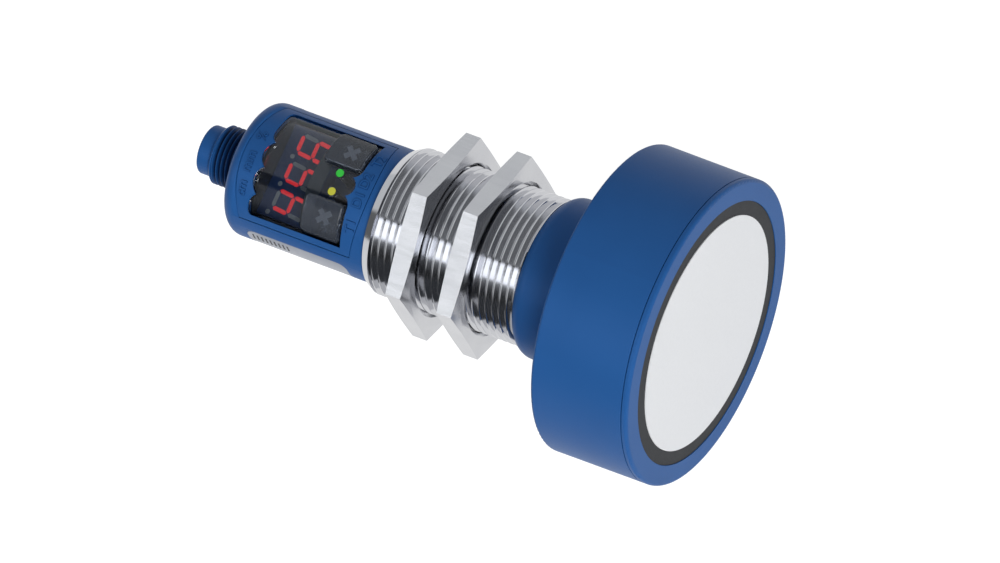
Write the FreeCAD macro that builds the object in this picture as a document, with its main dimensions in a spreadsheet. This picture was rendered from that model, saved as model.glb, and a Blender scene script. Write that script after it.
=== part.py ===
import FreeCAD, Part
import math
import os
import re

import Sketcher

# An ultrasonic distance sensor with a threaded sleeve, a round head and a rear housing
# with a display. The axis of the sensor is X, and +X points out of the sensing face, whose
# centre is the origin. The display looks along +Z. Depths are counted backwards from the
# sensing face, so a depth of 10 lies at X = -10. All sizes are in millimetres.

SIZES = (
    # Round head
    ("head_r", 31.3),
    ("head_draft", 0.1),
    ("head_len", 21.3),
    ("head_wall", 2.9),
    ("head_floor", 2.6),
    ("head_round", 0.6),
    ("rim_len", 1.2),
    ("rim_round", 0.7),
    ("rim_seam", 0.2),
    ("bezel_len", 6.5),
    ("bezel_wide", 4.3),
    ("seal_wide", 2.9),
    ("seal_set", 0.15),
    ("seal_lip", 3.0),
    # Sensing disc and what drives it
    ("face_len", 4.0),
    ("piezo_r", 13.0),
    ("piezo_len", 3.5),
    ("lead_bore_r", 3.0),
    ("lead_r", 0.4),
    ("lead_side", 1.2),
    ("lead_overlap", 2.0),
    # Neck between head and sleeve
    ("neck_step", 1.4),
    ("neck_len", 13.3),
    ("neck_round", 2.8),
    ("neck_spigot_wall", 1.6),
    # Threaded sleeve, an M30 thread at its crests
    ("barrel_r", 15.0),
    ("sleeve_len", 33.8),
    ("sleeve_wall", 2.0),
    ("sleeve_lead_in", 1.6),
    ("sleeve_lead_drop", 0.8),
    ("spigot_len", 8.0),
    ("fit_gap", 0.05),
    ("ring_section", 0.9),
    ("ring_groove_len", 1.3),
    ("ring_inset", 4.0),
    # Hexagon nuts
    ("nut_wall", 3.0),
    ("nut_len", 4.0),
    ("nut_play", 0.08),
    ("nut_turn", 5.7),
    ("nut_face_inset", 0.4),
    ("nut_corner_drop", 0.4),
    ("nut_mouth", 0.7),
    ("front_nut_gap", 9.85),
    ("plate_gap", 7.3),
    # Rear housing, slim enough for the nuts to pass over
    ("housing_step", 1.45),
    ("housing_len", 32.2),
    ("housing_round", 2.5),
    ("housing_wall", 2.15),
    ("rear_wall", 3.0),
    # Plug with an M12 thread at its crests
    ("plug_r", 6.0),
    ("plug_len", 7.3),
    ("plug_chamfer", 0.5),
    ("nose_step", 1.05),
    ("nose_len", 3.1),
    ("nose_round", 0.5),
    ("nose_wall", 0.75),
    ("socket_len", 8.6),
    ("insert_flange", 1.4),
    ("insert_flange_len", 2.0),
    ("pin_r", 0.5),
    ("pin_circle_r", 2.75),
    ("pin_recess", 1.0),
    ("pin_tail", 1.6),
    ("coding_rib_wide", 1.2),
    ("coding_rib_high", 0.6),
    ("coding_rib_root", 0.2),
    # Display panel, let into the top of the rear housing
    ("panel_inset", 3.25),
    ("panel_tail", 4.25),
    ("panel_angle", 60.5),
    ("panel_front_bow", 1.55),
    ("panel_back_bow", 1.85),
    ("panel_thick", 1.05),
    ("panel_seam", 0.12),
    # Smoked window and its scalloped ends
    ("window_inset", 5.3),
    ("window_tail", 6.2),
    ("window_rim", 1.0),
    ("window_round", 1.0),
    ("window_set", 0.35),
    ("window_thick", 1.35),
    ("window_gap", 0.06),
    ("flange_margin", 0.4),
    ("ledge_margin", 0.5),
    ("cusp_len", 1.3),
    ("cusp_shoulder", 2.1),
    ("unit_mid", -1.87),
    ("unit_pitch", 5.28),
    ("status_mid", 0.15),
    ("status_pitch", 3.9),
    # Keys
    ("key_inset", 0.6),
    ("key_len", 8.1),
    ("key_inner", 3.65),
    ("key_rim", 0.6),
    ("key_round", 0.8),
    ("key_edge", 0.3),
    ("key_proud", 0.65),
    ("key_gap", 0.12),
    ("key_flange", 0.5),
    ("key_flange_thick", 0.55),
    ("key_rest_gap", 0.1),
    ("key_travel", 0.4),
    ("rib_inset", 3.65),
    ("rib_thick", 0.9),
    ("rib_span", 3.2),
    ("rib_root", 0.3),
    # Electronics under the window, on a board that rests on the plug's upper pins
    ("solder_gap", 0.055),
    ("board_thick", 1.2),
    ("board_side_gap", 0.5),
    ("board_inset", 0.8),
    ("board_end_gap", 0.6),
    ("slot_gap", 0.05),
    ("module_lead", 0.8),
    ("module_tail", 0.6),
    ("module_side", 1.7),
    ("module_high", 1.8),
    ("pipe_r", 0.8),
    ("pipe_inset", 4.4),
    ("pipe_set", 0.25),
    ("led_side", 1.4),
    ("led_high", 0.7),
    ("unit_led_side", 0.8),
    ("unit_led_high", 0.5),
    ("switch_side", 3.6),
    ("switch_high", 2.0),
    ("plunger_r", 1.1),
    ("plunger_gap", 0.06),
    ("plunger_proud", 0.9),
    ("plunger_stop_gap", 0.2),
    ("switch_floor", 0.3),
    # Moulded light shroud round the display and the lamps
    ("shroud_wall", 0.3),
    ("shroud_rail", 0.5),
    ("shroud_rail_high", 1.0),
    ("shroud_gap", 0.2),
    ("shroud_play", 0.05),
    ("bridge_tail", 1.7),
    ("bridge_gap", 0.3),
    ("screen_gap", 0.25),
    # Electronics in the sleeve
    ("driver_inset", 2.7),
    ("driver_tail", 1.9),
    ("driver_side_gap", 0.9),
    ("driver_low", -3.6),
    ("driver_thick", 1.6),
    ("core_inset", 3.4),
    ("core_gap", 0.6),
    ("core_half", 5.5),
    ("core_high", 7.0),
    ("core_yoke", 3.0),
    ("core_band", 1.5),
    ("coil_r", 4.3),
    ("capacitor_inset", 4.0),
    ("capacitor_tail", 0.6),
    ("capacitor_r", 4.0),
    ("chip_gap", 0.7),
    ("chip_len", 5.0),
    ("chip_high", 1.0),
    ("ribbon_half", 4.5),
    ("ribbon_thick", 0.3),
    ("ribbon_foot", 2.2),
    ("ribbon_inset", 0.8),
    ("ribbon_lean", 0.1),
    ("potting_gap", 0.05),
    # Foil label
    ("label_inset", 4.5),
    ("label_tail", 5.4),
    ("label_angle", 213.0),
    ("label_thick", 0.12),
    ("label_depth", 0.16),
    ("label_round", 2.0),
    ("label_edge", 0.08),
    ("label_glue", 0.01),
)

# Places and sizes that follow from the ones above. Depths count from the sensing face.
DERIVED = {
    "head_front_r": "head_r - head_draft",
    "cavity_r": "head_front_r - head_wall",
    "cavity_back": "head_len - head_floor",
    "rim_back": "rim_len + rim_seam",
    "seal_r": "head_front_r - bezel_wide",
    "face_r": "seal_r - seal_wide",
    "lip_r": "face_r - seal_lip",
    "piezo_back": "face_len + piezo_len",
    "sleeve_bore_r": "barrel_r - sleeve_wall",
    "spigot_r": "sleeve_bore_r - fit_gap",
    "groove_r": "sleeve_bore_r - ring_section",
    "neck_r": "barrel_r + neck_step",
    "neck_lip_r": "barrel_r + fit_gap",
    "neck_bore_r": "groove_r - neck_spigot_wall",
    "neck_back": "head_len + neck_len",
    "neck_round_len": "sqrt(neck_round ^ 2 - (neck_lip_r - neck_r + neck_round) ^ 2)",
    "sleeve_back": "neck_back + sleeve_len",
    "neck_spigot_back": "neck_back + spigot_len",
    "housing_spigot_front": "sleeve_back - spigot_len",
    "front_ring_at": "neck_back + ring_inset",
    "rear_ring_at": "sleeve_back - ring_inset",
    "front_nut_front": "neck_back + front_nut_gap",
    "rear_nut_front": "front_nut_front + nut_len + plate_gap",
    "nut_flat_r": "barrel_r + nut_wall",
    "nut_corner_r": "nut_flat_r / cos(30)",
    "nut_face_r": "nut_flat_r - nut_face_inset",
    "housing_r": "barrel_r - housing_step",
    "housing_bore_r": "housing_r - housing_wall",
    "housing_back": "sleeve_back + housing_len",
    "inner_wall_back": "housing_back - rear_wall",
    "plug_back": "housing_back + plug_len",
    "nose_r": "plug_r - nose_step",
    "nose_back": "plug_back + nose_len",
    "socket_r": "nose_r - nose_wall",
    "insert_flange_r": "socket_r + insert_flange",
    "insert_back": "nose_back - socket_len",
    "insert_front": "inner_wall_back - insert_flange_len",
    "panel_front": "sleeve_back + panel_inset",
    "panel_back": "housing_back - panel_tail",
    "panel_half": "housing_r * sin(panel_angle)",
    "panel_floor_r": "housing_r - panel_thick",
    "window_front": "sleeve_back + window_inset",
    "window_back": "housing_back - window_tail",
    "window_half": "panel_half - window_rim",
    "window_top_r": "housing_r - window_set",
    "window_floor_r": "window_top_r - window_thick",
    "ledge_half": "window_half - ledge_margin",
    "key_front": "window_front + key_inset",
    "key_back": "key_front + key_len",
    "key_outer": "window_half - key_rim",
    "key_mid": "key_front + rib_inset",
    "key_side": "(key_inner + key_outer) / 2",
    "key_top_r": "housing_r + key_proud",
    "key_flange_top_r": "window_floor_r - key_rest_gap",
    "key_flange_r": "key_flange_top_r - key_flange_thick",
    "rib_reach": "(rib_span + rib_thick) / 2 * cos(45)",
    "key_drop": "key_flange_r - sqrt(key_flange_r ^ 2 - (key_side - rib_reach) ^ 2)",
    "board_half": "housing_bore_r - board_side_gap",
    "board_low": "pin_circle_r * sin(45) + pin_r + solder_gap",
    "board_top": "board_low + board_thick",
    "board_front": "sleeve_back + board_inset",
    "board_back": "insert_front - board_end_gap",
    "module_front": "key_back - module_lead",
    "module_back": "window_back - module_tail",
    "module_half": "board_half - module_side",
    "module_top": "board_top + module_high",
    "shroud_half": "module_half + shroud_play + shroud_rail",
    "lamp_box_front": "window_front + shroud_gap",
    "lamp_box_back": "module_front - shroud_play",
    "lamp_box_half": "key_side - switch_side / 2 - shroud_gap",
    "bridge_front": "lamp_box_back - shroud_wall",
    "bridge_back": "key_back + bridge_tail",
    "bridge_r": "key_flange_r - key_travel - bridge_gap",
    "screen_front": "module_back + shroud_play",
    "screen_back": "screen_front + shroud_wall",
    "screen_r": "window_floor_r - screen_gap",
    "pipe_top": "window_top_r - pipe_set",
    "pipe_at": "window_front + pipe_inset",
    "pipe_side_d1": "status_mid - status_pitch / 2",
    "pipe_side_d2": "status_mid + status_pitch / 2",
    "lamp_top": "board_top + led_high",
    "switch_top": "board_top + switch_high",
    "switch_bore_low": "board_top + switch_floor",
    "plunger_low": "switch_bore_low + key_travel + plunger_stop_gap",
    "plunger_top": "switch_top + plunger_proud",
    "driver_top": "driver_low + driver_thick",
    "driver_front": "head_len + driver_inset",
    "driver_back": "sleeve_back - driver_tail",
    "driver_half": "neck_bore_r - driver_side_gap",
    "capacitor_front": "driver_front + capacitor_inset",
    "capacitor_back": "neck_spigot_back - capacitor_tail",
    "chip_back": "driver_back - ribbon_foot - chip_gap",
    "chip_front": "chip_back - chip_len",
    "core_front": "neck_spigot_back + core_inset",
    "core_back": "chip_front - core_gap",
    "label_front": "sleeve_back + label_inset",
    "label_back": "housing_back - label_tail",
    "label_in_r": "housing_r - label_depth",
}

# A length below which two places are the same, and how far a cutting form reaches past its piece
TINY = 1e-6
BEYOND = "1"
doc = FreeCAD.newDocument("ultrasonic_sensor")
sheet = doc.addObject("Spreadsheet::Sheet", "Sizes")
subparts = []


def fill_sheet():
    """Write every driving size into its own named cell."""
    for row, (name, size) in enumerate(SIZES, start=1):
        sheet.set("A%d" % row, name)
        sheet.set("B%d" % row, str(size))
        sheet.setAlias("B%d" % row, name)
    doc.recompute()


SIZE_NAMES = {name for name, size in SIZES}


def formula(text):
    """Spell out derived names until only named cells are left."""
    def spell(match):
        word = match.group(0)
        if word in DERIVED:
            return "(" + formula(DERIVED[word]) + ")"
        if word in SIZE_NAMES:
            return "Sizes." + word
        return word
    return re.sub(r"[a-z][a-z_0-9]*", spell, text)


def value(text):
    """The number that a formula gives."""
    return float(sheet.evalExpression(formula(text)))


def bind(item, **sizes):
    """Tie properties of an object to formulas."""
    for name, text in sizes.items():
        item.setExpression(name, formula(text))


def place(item, depth="0", side="0", height="0", turn=None):
    """Put an object at a depth behind the face, a side and a height."""
    if turn is not None:
        item.Placement = FreeCAD.Placement(FreeCAD.Vector(), turn)
    item.setExpression("Placement.Base.x", formula("-(%s)" % depth))
    item.setExpression("Placement.Base.y", formula(side))
    item.setExpression("Placement.Base.z", formula(height))


def keep(item, label):
    """List an object as one finished piece."""
    item.Label = label
    subparts.append(item)
    return item


# Sketches

def pin_point(sketch, edge, end, across, up):
    """Fix one end of an edge by two distances from the sketch's origin."""
    for kind, axis, text in (("DistanceX", -2, across), ("DistanceY", -1, up)):
        number = value(text)
        if abs(number) < TINY:
            sketch.addConstraint(Sketcher.Constraint("PointOnObject", edge, end, axis))
            continue
        index = sketch.addConstraint(Sketcher.Constraint(kind, -1, 1, edge, end, number))
        sketch.setExpression("Constraints[%d]" % index, formula(text))


def arc_between(start, stop, radius, side):
    """A short arc from start to stop that swells to the left or right of the way."""
    chord = stop - start
    left = FreeCAD.Vector(-chord.y, chord.x, 0).normalize()
    rise = math.sqrt(radius ** 2 - (chord.Length / 2) ** 2)
    centre = (start + stop) * 0.5 + left * (rise if side == "right" else -rise)
    first, last = (start, stop) if side == "right" else (stop, start)
    begin = math.atan2(first.y - centre.y, first.x - centre.x)
    finish = math.atan2(last.y - centre.y, last.x - centre.x)
    if finish < begin:
        finish += 2 * math.pi
    circle = Part.Circle(centre, FreeCAD.Vector(0, 0, 1), radius)
    return Part.ArcOfCircle(circle, begin, finish)


def draw_outline(sketch, corners):
    """Draw a closed outline. A corner is (across, up), with a radius and a side if an arc follows."""
    points = [FreeCAD.Vector(value(corner[0]), value(corner[1]), 0) for corner in corners]
    ends = []
    for index, corner in enumerate(corners):
        here = points[index]
        there = points[(index + 1) % len(points)]
        if len(corner) == 2:
            edge = sketch.addGeometry(Part.LineSegment(here, there), False)
            ends.append((edge, 1, 2))
            continue
        edge = sketch.addGeometry(arc_between(here, there, value(corner[2]), corner[3]), False)
        ends.append((edge, 1, 2) if corner[3] == "right" else (edge, 2, 1))
    for index, corner in enumerate(corners):
        edge, start, stop = ends[index]
        following, next_start, next_stop = ends[(index + 1) % len(ends)]
        sketch.addConstraint(Sketcher.Constraint("Coincident", edge, stop, following, next_start))
        pin_point(sketch, edge, start, corner[0], corner[1])
        if len(corner) == 4:
            index = sketch.addConstraint(Sketcher.Constraint("Radius", edge, value(corner[2])))
            sketch.setExpression("Constraints[%d]" % index, formula(corner[2]))


def from_depths(corners, sign=""):
    """Turn (depth, radius) corners into sketch corners, X running forwards."""
    turned_round = []
    for depth, radius, *swell in corners:
        turned_round.append(("-(%s)" % depth, "%s(%s)" % (sign, radius), *swell))
    return turned_round


def origin_plane(body, role):
    """One of a body's own origin planes."""
    return next(item for item in body.Origin.OriginFeatures if item.Role == role)


def body_sketch(body, name, role, corners):
    """A closed outline on one of a body's origin planes."""
    sketch = body.newObject("Sketcher::SketchObject", name)
    sketch.AttachmentSupport = [(origin_plane(body, role), "")]
    sketch.MapMode = "FlatFace"
    draw_outline(sketch, corners)
    return sketch


# Ways of making a solid

def turned(name, corners, angle=None, below=False):
    """A body turned about the sensor's axis from (depth, radius) corners."""
    body = doc.addObject("PartDesign::Body", name)
    profile = from_depths(corners, "-" if below else "")
    sketch = body_sketch(body, name + "_profile", "XZ_Plane", profile)
    turn = body.newObject("PartDesign::Revolution", name + "_turn")
    turn.Profile = sketch
    turn.ReferenceAxis = (sketch, ["H_Axis"])
    if angle is None:
        turn.Angle = 360
    else:
        bind(turn, Angle=angle)
        turn.Midplane = True
    doc.recompute()
    return body


def slab(name, front, back, half, low, high):
    """A plain block, even about the sensor's middle plane."""
    block = doc.addObject("Part::Box", name)
    length = "(%s) - (%s)" % (back, front)
    bind(block, Length=length, Width="2 * (%s)" % half, Height="(%s) - (%s)" % (high, low))
    place(block, back, "-(%s)" % half, low)
    return block


def chip(name, depth, side, size, low, high):
    """A small square part that stands on a board."""
    block = doc.addObject("Part::Box", name)
    bind(block, Length=size, Width=size, Height="(%s) - (%s)" % (high, low))
    place(block, "%s + (%s) / 2" % (depth, size), "%s - (%s) / 2" % (side, size), low)
    return block


def rod(name, radius, front, back, side="0", height="0"):
    """A round bar along the sensor's axis."""
    bar = doc.addObject("Part::Cylinder", name)
    bind(bar, Radius=radius, Height="(%s) - (%s)" % (back, front))
    place(bar, back, side, height, FreeCAD.Rotation(FreeCAD.Vector(0, 1, 0), 90))
    return bar


def post(name, radius, depth, side, low, high):
    """A round bar that stands up towards the display."""
    bar = doc.addObject("Part::Cylinder", name)
    bind(bar, Radius=radius, Height="(%s) - (%s)" % (high, low))
    place(bar, depth, side, low)
    return bar


def cut(name, base, *tools):
    """A solid less its tools, one after the other."""
    for index, tool in enumerate(tools):
        result = doc.addObject("Part::Cut", name if tool is tools[-1] else "%s_cut_%d" % (name, index + 1))
        result.Base = base
        result.Tool = tool
        base = result
    return base


def fuse(name, *pieces):
    """Several solids grown together into one."""
    result = doc.addObject("Part::MultiFuse", name)
    result.Shapes = list(pieces)
    return result


def curved_plate(name, outline, inner, outer):
    """The part of a round wall between two radii that lies inside an outline seen from above."""
    sketch = doc.addObject("Sketcher::SketchObject", name + "_outline")
    draw_outline(sketch, outline)
    column = doc.addObject("Part::Extrusion", name + "_column")
    column.Base = sketch
    column.Dir = FreeCAD.Vector(0, 0, 1)
    bind(column, LengthFwd="(%s) + %s" % (outer, BEYOND))
    column.Solid = True
    wall = cut(name + "_wall", rod(name + "_outside", outer, "sleeve_back", "housing_back"),
               rod(name + "_inside", inner, "sleeve_back", "housing_back"))
    plate = doc.addObject("Part::Common", name)
    plate.Base = column
    plate.Tool = wall
    return plate


# Outlines seen from above, with the display towards the eye

def panel_outline(gap):
    """The display panel: straight sides and ends that bow outwards."""
    front = "panel_front + %s" % gap
    back = "panel_back - %s" % gap
    half = "(panel_half - %s)" % gap
    front_bow = "(panel_half ^ 2 + panel_front_bow ^ 2) / (2 * panel_front_bow)"
    back_bow = "(panel_half ^ 2 + panel_back_bow ^ 2) / (2 * panel_back_bow)"
    return from_depths([(front, half), (back, half, back_bow, "right"),
                        (back, "-" + half), (front, "-" + half, front_bow, "right")])


def lobe_radius(pitch):
    """The radius of a lobe that spans one pitch between two cusps."""
    return "((%s / 2) ^ 2 + cusp_len ^ 2) / (2 * cusp_len)" % pitch


def scalloped_outline(gap):
    """The window: cusps at its rear end point at the unit lights, and at its front at the status lights."""
    front = "window_front + %s" % gap
    back = "window_back - %s" % gap
    half = "(window_half - %s)" % gap
    shoulder = "(cusp_shoulder ^ 2 + cusp_len ^ 2) / (2 * cusp_len)"
    corners = [(front, half), ("%s - window_round" % back, half, "window_round", "right"),
               (back, "%s - window_round" % half),
               (back, "unit_mid + unit_pitch + cusp_shoulder", shoulder, "right")]
    for step in (1, 0, -1):
        swell = lobe_radius("unit_pitch") if step > -1 else shoulder
        corners.append(("%s - cusp_len" % back, "unit_mid + %d * unit_pitch" % step, swell, "right"))
    cusp = "%s + cusp_len" % front
    corners += [(back, "unit_mid - unit_pitch - cusp_shoulder"),
                (back, "window_round - %s" % half, "window_round", "right"),
                ("%s - window_round" % back, "-" + half), (front, "-" + half),
                (front, "pipe_side_d1 - cusp_shoulder", shoulder, "right"),
                (cusp, "pipe_side_d1", lobe_radius("status_pitch"), "right"),
                (cusp, "pipe_side_d2", shoulder, "right"),
                (front, "pipe_side_d2 + cusp_shoulder")]
    return from_depths(corners)


def rounded_outline(front, back, low, high, radius):
    """A rectangle with round corners."""
    along = ("%s + %s" % (front, radius), "%s - (%s)" % (back, radius))
    across = ("(%s) + (%s)" % (low, radius), "(%s) - (%s)" % (high, radius))
    return from_depths([
        (front, across[1], radius, "right"), (along[0], high),
        (along[1], high, radius, "right"), (back, across[1]),
        (back, across[0], radius, "right"), (along[1], low),
        (along[0], low, radius, "right"), (front, across[0])])


def window_seat(gap):
    """The window's flange, which the display panel holds down in its recess."""
    front = "window_front - flange_margin - %s" % gap
    back = "window_back + flange_margin + %s" % gap
    half = "window_half + flange_margin + %s" % gap
    return rounded_outline(front, back, "-(%s)" % half, half, "window_round")


def key_outline(side, grow, tail="0"):
    """A key on one side of the display, grown by a margin."""
    low, high = ("key_inner", "key_outer") if side > 0 else ("-key_outer", "-key_inner")
    low_margin, high_margin = (grow, tail) if side > 0 else (tail, grow)
    front = "key_front - %s" % grow
    back = "key_back + %s" % grow
    return rounded_outline(front, back, "%s - %s" % (low, low_margin), "%s + %s" % (high, high_margin),
                           "key_round")


# Round head with the sensing disc

def ring_groove(at):
    """Corners of the groove for a sealing ring in a spigot, front edge first."""
    front = "%s - ring_groove_len / 2" % at
    back = "%s + ring_groove_len / 2" % at
    return [(front, "spigot_r"), (front, "groove_r"), (back, "groove_r"), (back, "spigot_r")]


def make_head():
    """The moulded head with its neck and the spigot that is glued into the sleeve."""
    corners = [
        ("rim_back", "cavity_r"), ("rim_back", "head_front_r"),
        ("head_len - head_round", "head_r", "head_round", "right"), ("head_len", "head_r - head_round"),
        ("head_len", "neck_r"), ("neck_back - neck_round_len", "neck_r", "neck_round", "right"),
        ("neck_back", "neck_lip_r"), ("neck_back", "spigot_r")]
    corners += ring_groove("front_ring_at")
    corners += [("neck_spigot_back", "spigot_r"), ("neck_spigot_back", "neck_bore_r"),
                ("cavity_back", "neck_bore_r"), ("cavity_back", "cavity_r")]
    keep(turned("head_housing", corners), "head_housing")


def make_bezel():
    """The ring that closes the head and holds the soft seal."""
    skirt = "cavity_r - fit_gap"
    corners = [("0", "seal_r"), ("0", "head_front_r - rim_round", "rim_round", "right"),
               ("rim_round", "head_front_r"), ("rim_len", "head_front_r"), ("rim_len", skirt),
               ("bezel_len", skirt), ("bezel_len", "seal_r")]
    keep(turned("front_bezel", corners), "front_bezel")


def make_transducer():
    """The sensing disc, its soft ring, the ceramic behind it and the foam that quiets it."""
    disc_out = "face_r - fit_gap"
    disc = [("0", "0"), ("0", disc_out), ("face_len", disc_out), ("face_len", "0")]
    keep(turned("matching_layer", disc), "matching_layer")
    seal_out = "seal_r - fit_gap"
    seal = [("seal_set", "face_r"), ("seal_set", seal_out), ("bezel_len", seal_out),
            ("bezel_len", "lip_r"), ("face_len", "lip_r"), ("face_len", "face_r")]
    keep(turned("face_seal", seal), "face_seal")
    keep(rod("piezo_disc", "piezo_r", "face_len", "piezo_back"), "piezo_disc")
    round_piezo = "piezo_r + fit_gap"
    inside_lip = "lip_r - fit_gap"
    foam_out = "cavity_r - fit_gap"
    foam = [("piezo_back", "lead_bore_r"), ("piezo_back", round_piezo), ("face_len", round_piezo),
            ("face_len", inside_lip), ("bezel_len", inside_lip), ("bezel_len", foam_out),
            ("cavity_back", foam_out), ("cavity_back", "lead_bore_r")]
    keep(turned("backing_foam", foam), "backing_foam")
    lead_end = "driver_front + lead_overlap"
    for number, side in ((1, "-lead_side"), (2, "lead_side")):
        name = "transducer_lead_%d" % number
        keep(rod(name, "lead_r", "piezo_back", lead_end, side, "driver_top + lead_r"), name)


# Threaded sleeve and nuts

def make_sleeve():
    """The metal tube. Its thread is fine, so the tube is plain at the size of the crests."""
    keep(turned("threaded_sleeve", [
        ("neck_back", "sleeve_bore_r"), ("neck_back", "barrel_r"),
        ("sleeve_back - sleeve_lead_in", "barrel_r"), ("sleeve_back", "barrel_r - sleeve_lead_drop"),
        ("sleeve_back", "sleeve_bore_r")]), "threaded_sleeve")


def make_sealing_ring(name, at):
    """A square-cut rubber ring between a spigot and the sleeve's bore."""
    front = "%s - ring_section / 2" % at
    back = "%s + ring_section / 2" % at
    inner = "groove_r + fit_gap / 2"
    outer = "sleeve_bore_r - fit_gap / 2"
    keep(turned(name, [(front, inner), (front, outer), (back, outer), (back, inner)]), name)


def groove(body, name, corners):
    """Turn an outline off a body, about the sensor's axis."""
    before = body.Shape.Volume
    sketch = body_sketch(body, name + "_profile", "XZ_Plane", from_depths(corners))
    turn = body.newObject("PartDesign::Groove", name)
    turn.Profile = sketch
    turn.ReferenceAxis = (sketch, ["H_Axis"])
    turn.Angle = 360
    doc.recompute()
    if body.Shape.Volume > before - TINY:
        raise RuntimeError(name + " cuts nothing")


def make_nut(name, front):
    """A thin hexagon nut. A shallow cone takes its corners down on both faces."""
    body = doc.addObject("PartDesign::Body", name)
    corners = [("nut_corner_r * sin(%d + nut_turn)" % angle, "nut_corner_r * cos(%d + nut_turn)" % angle)
               for angle in range(0, 360, 60)]
    sketch = body_sketch(body, name + "_hexagon", "YZ_Plane", corners)
    pad = body.newObject("PartDesign::Pad", name + "_blank")
    pad.Profile = sketch
    bind(pad, Length="nut_len")
    doc.recompute()
    beyond = "nut_corner_r + " + BEYOND
    drop = "nut_corner_drop * (%s - nut_face_r) / (nut_corner_r - nut_face_r)" % beyond
    front_cone = [("-nut_len", "nut_face_r"), ("-nut_len", beyond), ("%s - nut_len" % drop, beyond)]
    groove(body, name + "_front_cone", front_cone)
    back_cone = [("0", "nut_face_r"), ("0", beyond), ("-(%s)" % drop, beyond)]
    groove(body, name + "_back_cone", back_cone)
    bore = "barrel_r + nut_play"
    groove(body, name + "_bore", [
        ("0", "0"), ("0", bore + " + nut_mouth"), ("-nut_mouth", bore), ("nut_mouth - nut_len", bore),
        ("-nut_len", bore + " + nut_mouth"), ("-nut_len", "0")])
    place(body, front + " + nut_len")
    keep(body, name)


# Rear housing with the plug

def wrap(name, margin):
    """A thick sheet wrapped round the back of the housing, with round corners."""
    front = "label_front - %s" % margin
    back = "label_back + %s" % margin
    inner = "label_in_r"
    outer = "housing_r + " + BEYOND
    turn = "label_angle + 2 * (%s) / housing_r * 180 / pi" % margin
    body = turned(name, [(front, inner), (front, outer), (back, outer), (back, inner)], turn, True)
    thickness = value(outer) - value(inner)
    corner_edges = []
    for number, edge in enumerate(body.Shape.Edges, start=1):
        if abs(edge.Length - thickness) < TINY:
            corner_edges.append("Edge%d" % number)
    wrapped = body.Tip
    rounding = body.newObject("PartDesign::Fillet", name + "_corners")
    rounding.Base = (wrapped, corner_edges)
    bind(rounding, Radius="label_round")
    doc.recompute()
    return body


def make_rear_housing():
    """The moulded housing, hollow for the boards and drawn out at the back into the plug's shell."""
    corners = [
        ("housing_spigot_front", "housing_bore_r"), ("inner_wall_back", "housing_bore_r"),
        ("inner_wall_back", "socket_r"), ("nose_back", "socket_r"),
        ("nose_back", "nose_r - nose_round", "nose_round", "left"), ("nose_back - nose_round", "nose_r"),
        ("plug_back", "nose_r"), ("plug_back", "plug_r - plug_chamfer"),
        ("plug_back - plug_chamfer", "plug_r"), ("housing_back", "plug_r"),
        ("housing_back", "housing_r - housing_round", "housing_round", "left"),
        ("housing_back - housing_round", "housing_r"), ("sleeve_back", "housing_r"),
        ("sleeve_back", "spigot_r")]
    corners += reversed(ring_groove("rear_ring_at"))
    corners += [("housing_spigot_front", "spigot_r")]
    shell = turned("housing_shell", corners)
    outside = "housing_r + " + BEYOND
    panel_recess = curved_plate("panel_recess", panel_outline("0"), "panel_floor_r", outside)
    seat = window_seat("window_gap")
    window_recess = curved_plate("window_recess", seat, "window_floor_r", "panel_floor_r + panel_seam")
    light_opening = slab("light_opening", "window_front - ledge_margin + flange_margin",
                         "window_back + ledge_margin - flange_margin", "ledge_half",
                         "board_top + slot_gap", "housing_r")
    card_slot = slab("card_slot", "housing_spigot_front", "board_back + slot_gap", "board_half + slot_gap",
                     "board_low - slot_gap", "board_top + slot_gap")
    label_recess = wrap("label_recess", "label_edge")
    rib = slab("coding_rib", "insert_back", "nose_back - pin_recess", "coding_rib_wide / 2",
               "socket_r - coding_rib_high", "socket_r + coding_rib_root")
    hollowed = cut("housing_with_openings", shell, panel_recess, window_recess, light_opening, card_slot,
                   label_recess)
    keep(fuse("rear_housing", hollowed, rib), "rear_housing")


def make_label():
    """The silver foil label in its shallow recess."""
    outside = rod("foil_outside", "label_in_r + label_thick", "sleeve_back", "housing_back")
    inside = rod("foil_inside", "label_in_r + label_glue", "sleeve_back", "housing_back")
    foil = cut("foil_tube", outside, inside)
    label = doc.addObject("Part::Common", "type_label")
    label.Base = wrap("label_form", "0")
    label.Tool = foil
    keep(label, "type_label")


def make_display_cover():
    """The blue frame, the smoked window under it and the holes for keys and light rods."""
    plate = curved_plate("panel_plate", panel_outline("panel_seam"), "panel_floor_r + fit_gap", "housing_r")
    opening = curved_plate("panel_opening", scalloped_outline("0"), "window_floor_r", "housing_r + " + BEYOND)
    keep(cut("display_panel", plate, opening), "display_panel")

    floor = "window_floor_r + fit_gap"
    flange = curved_plate("window_flange", window_seat("0"), floor, "panel_floor_r")
    lens = curved_plate("window_lens", scalloped_outline("window_gap"), floor, "window_top_r")
    body = fuse("window_body", flange, lens)
    holes = []
    for tag, side in (("t1", -1), ("t2", 1)):
        outline = key_outline(side, "key_gap", "key_gap")
        holes.append(curved_plate("key_hole_" + tag, outline, "key_flange_r", "window_top_r + " + BEYOND))
    for tag in ("d1", "d2"):
        holes.append(post("pipe_hole_" + tag, "pipe_r + fit_gap", "pipe_at", "pipe_side_" + tag, "0",
                          "window_top_r + " + BEYOND))
    keep(cut("display_window", body, *holes), "display_window")


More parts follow.
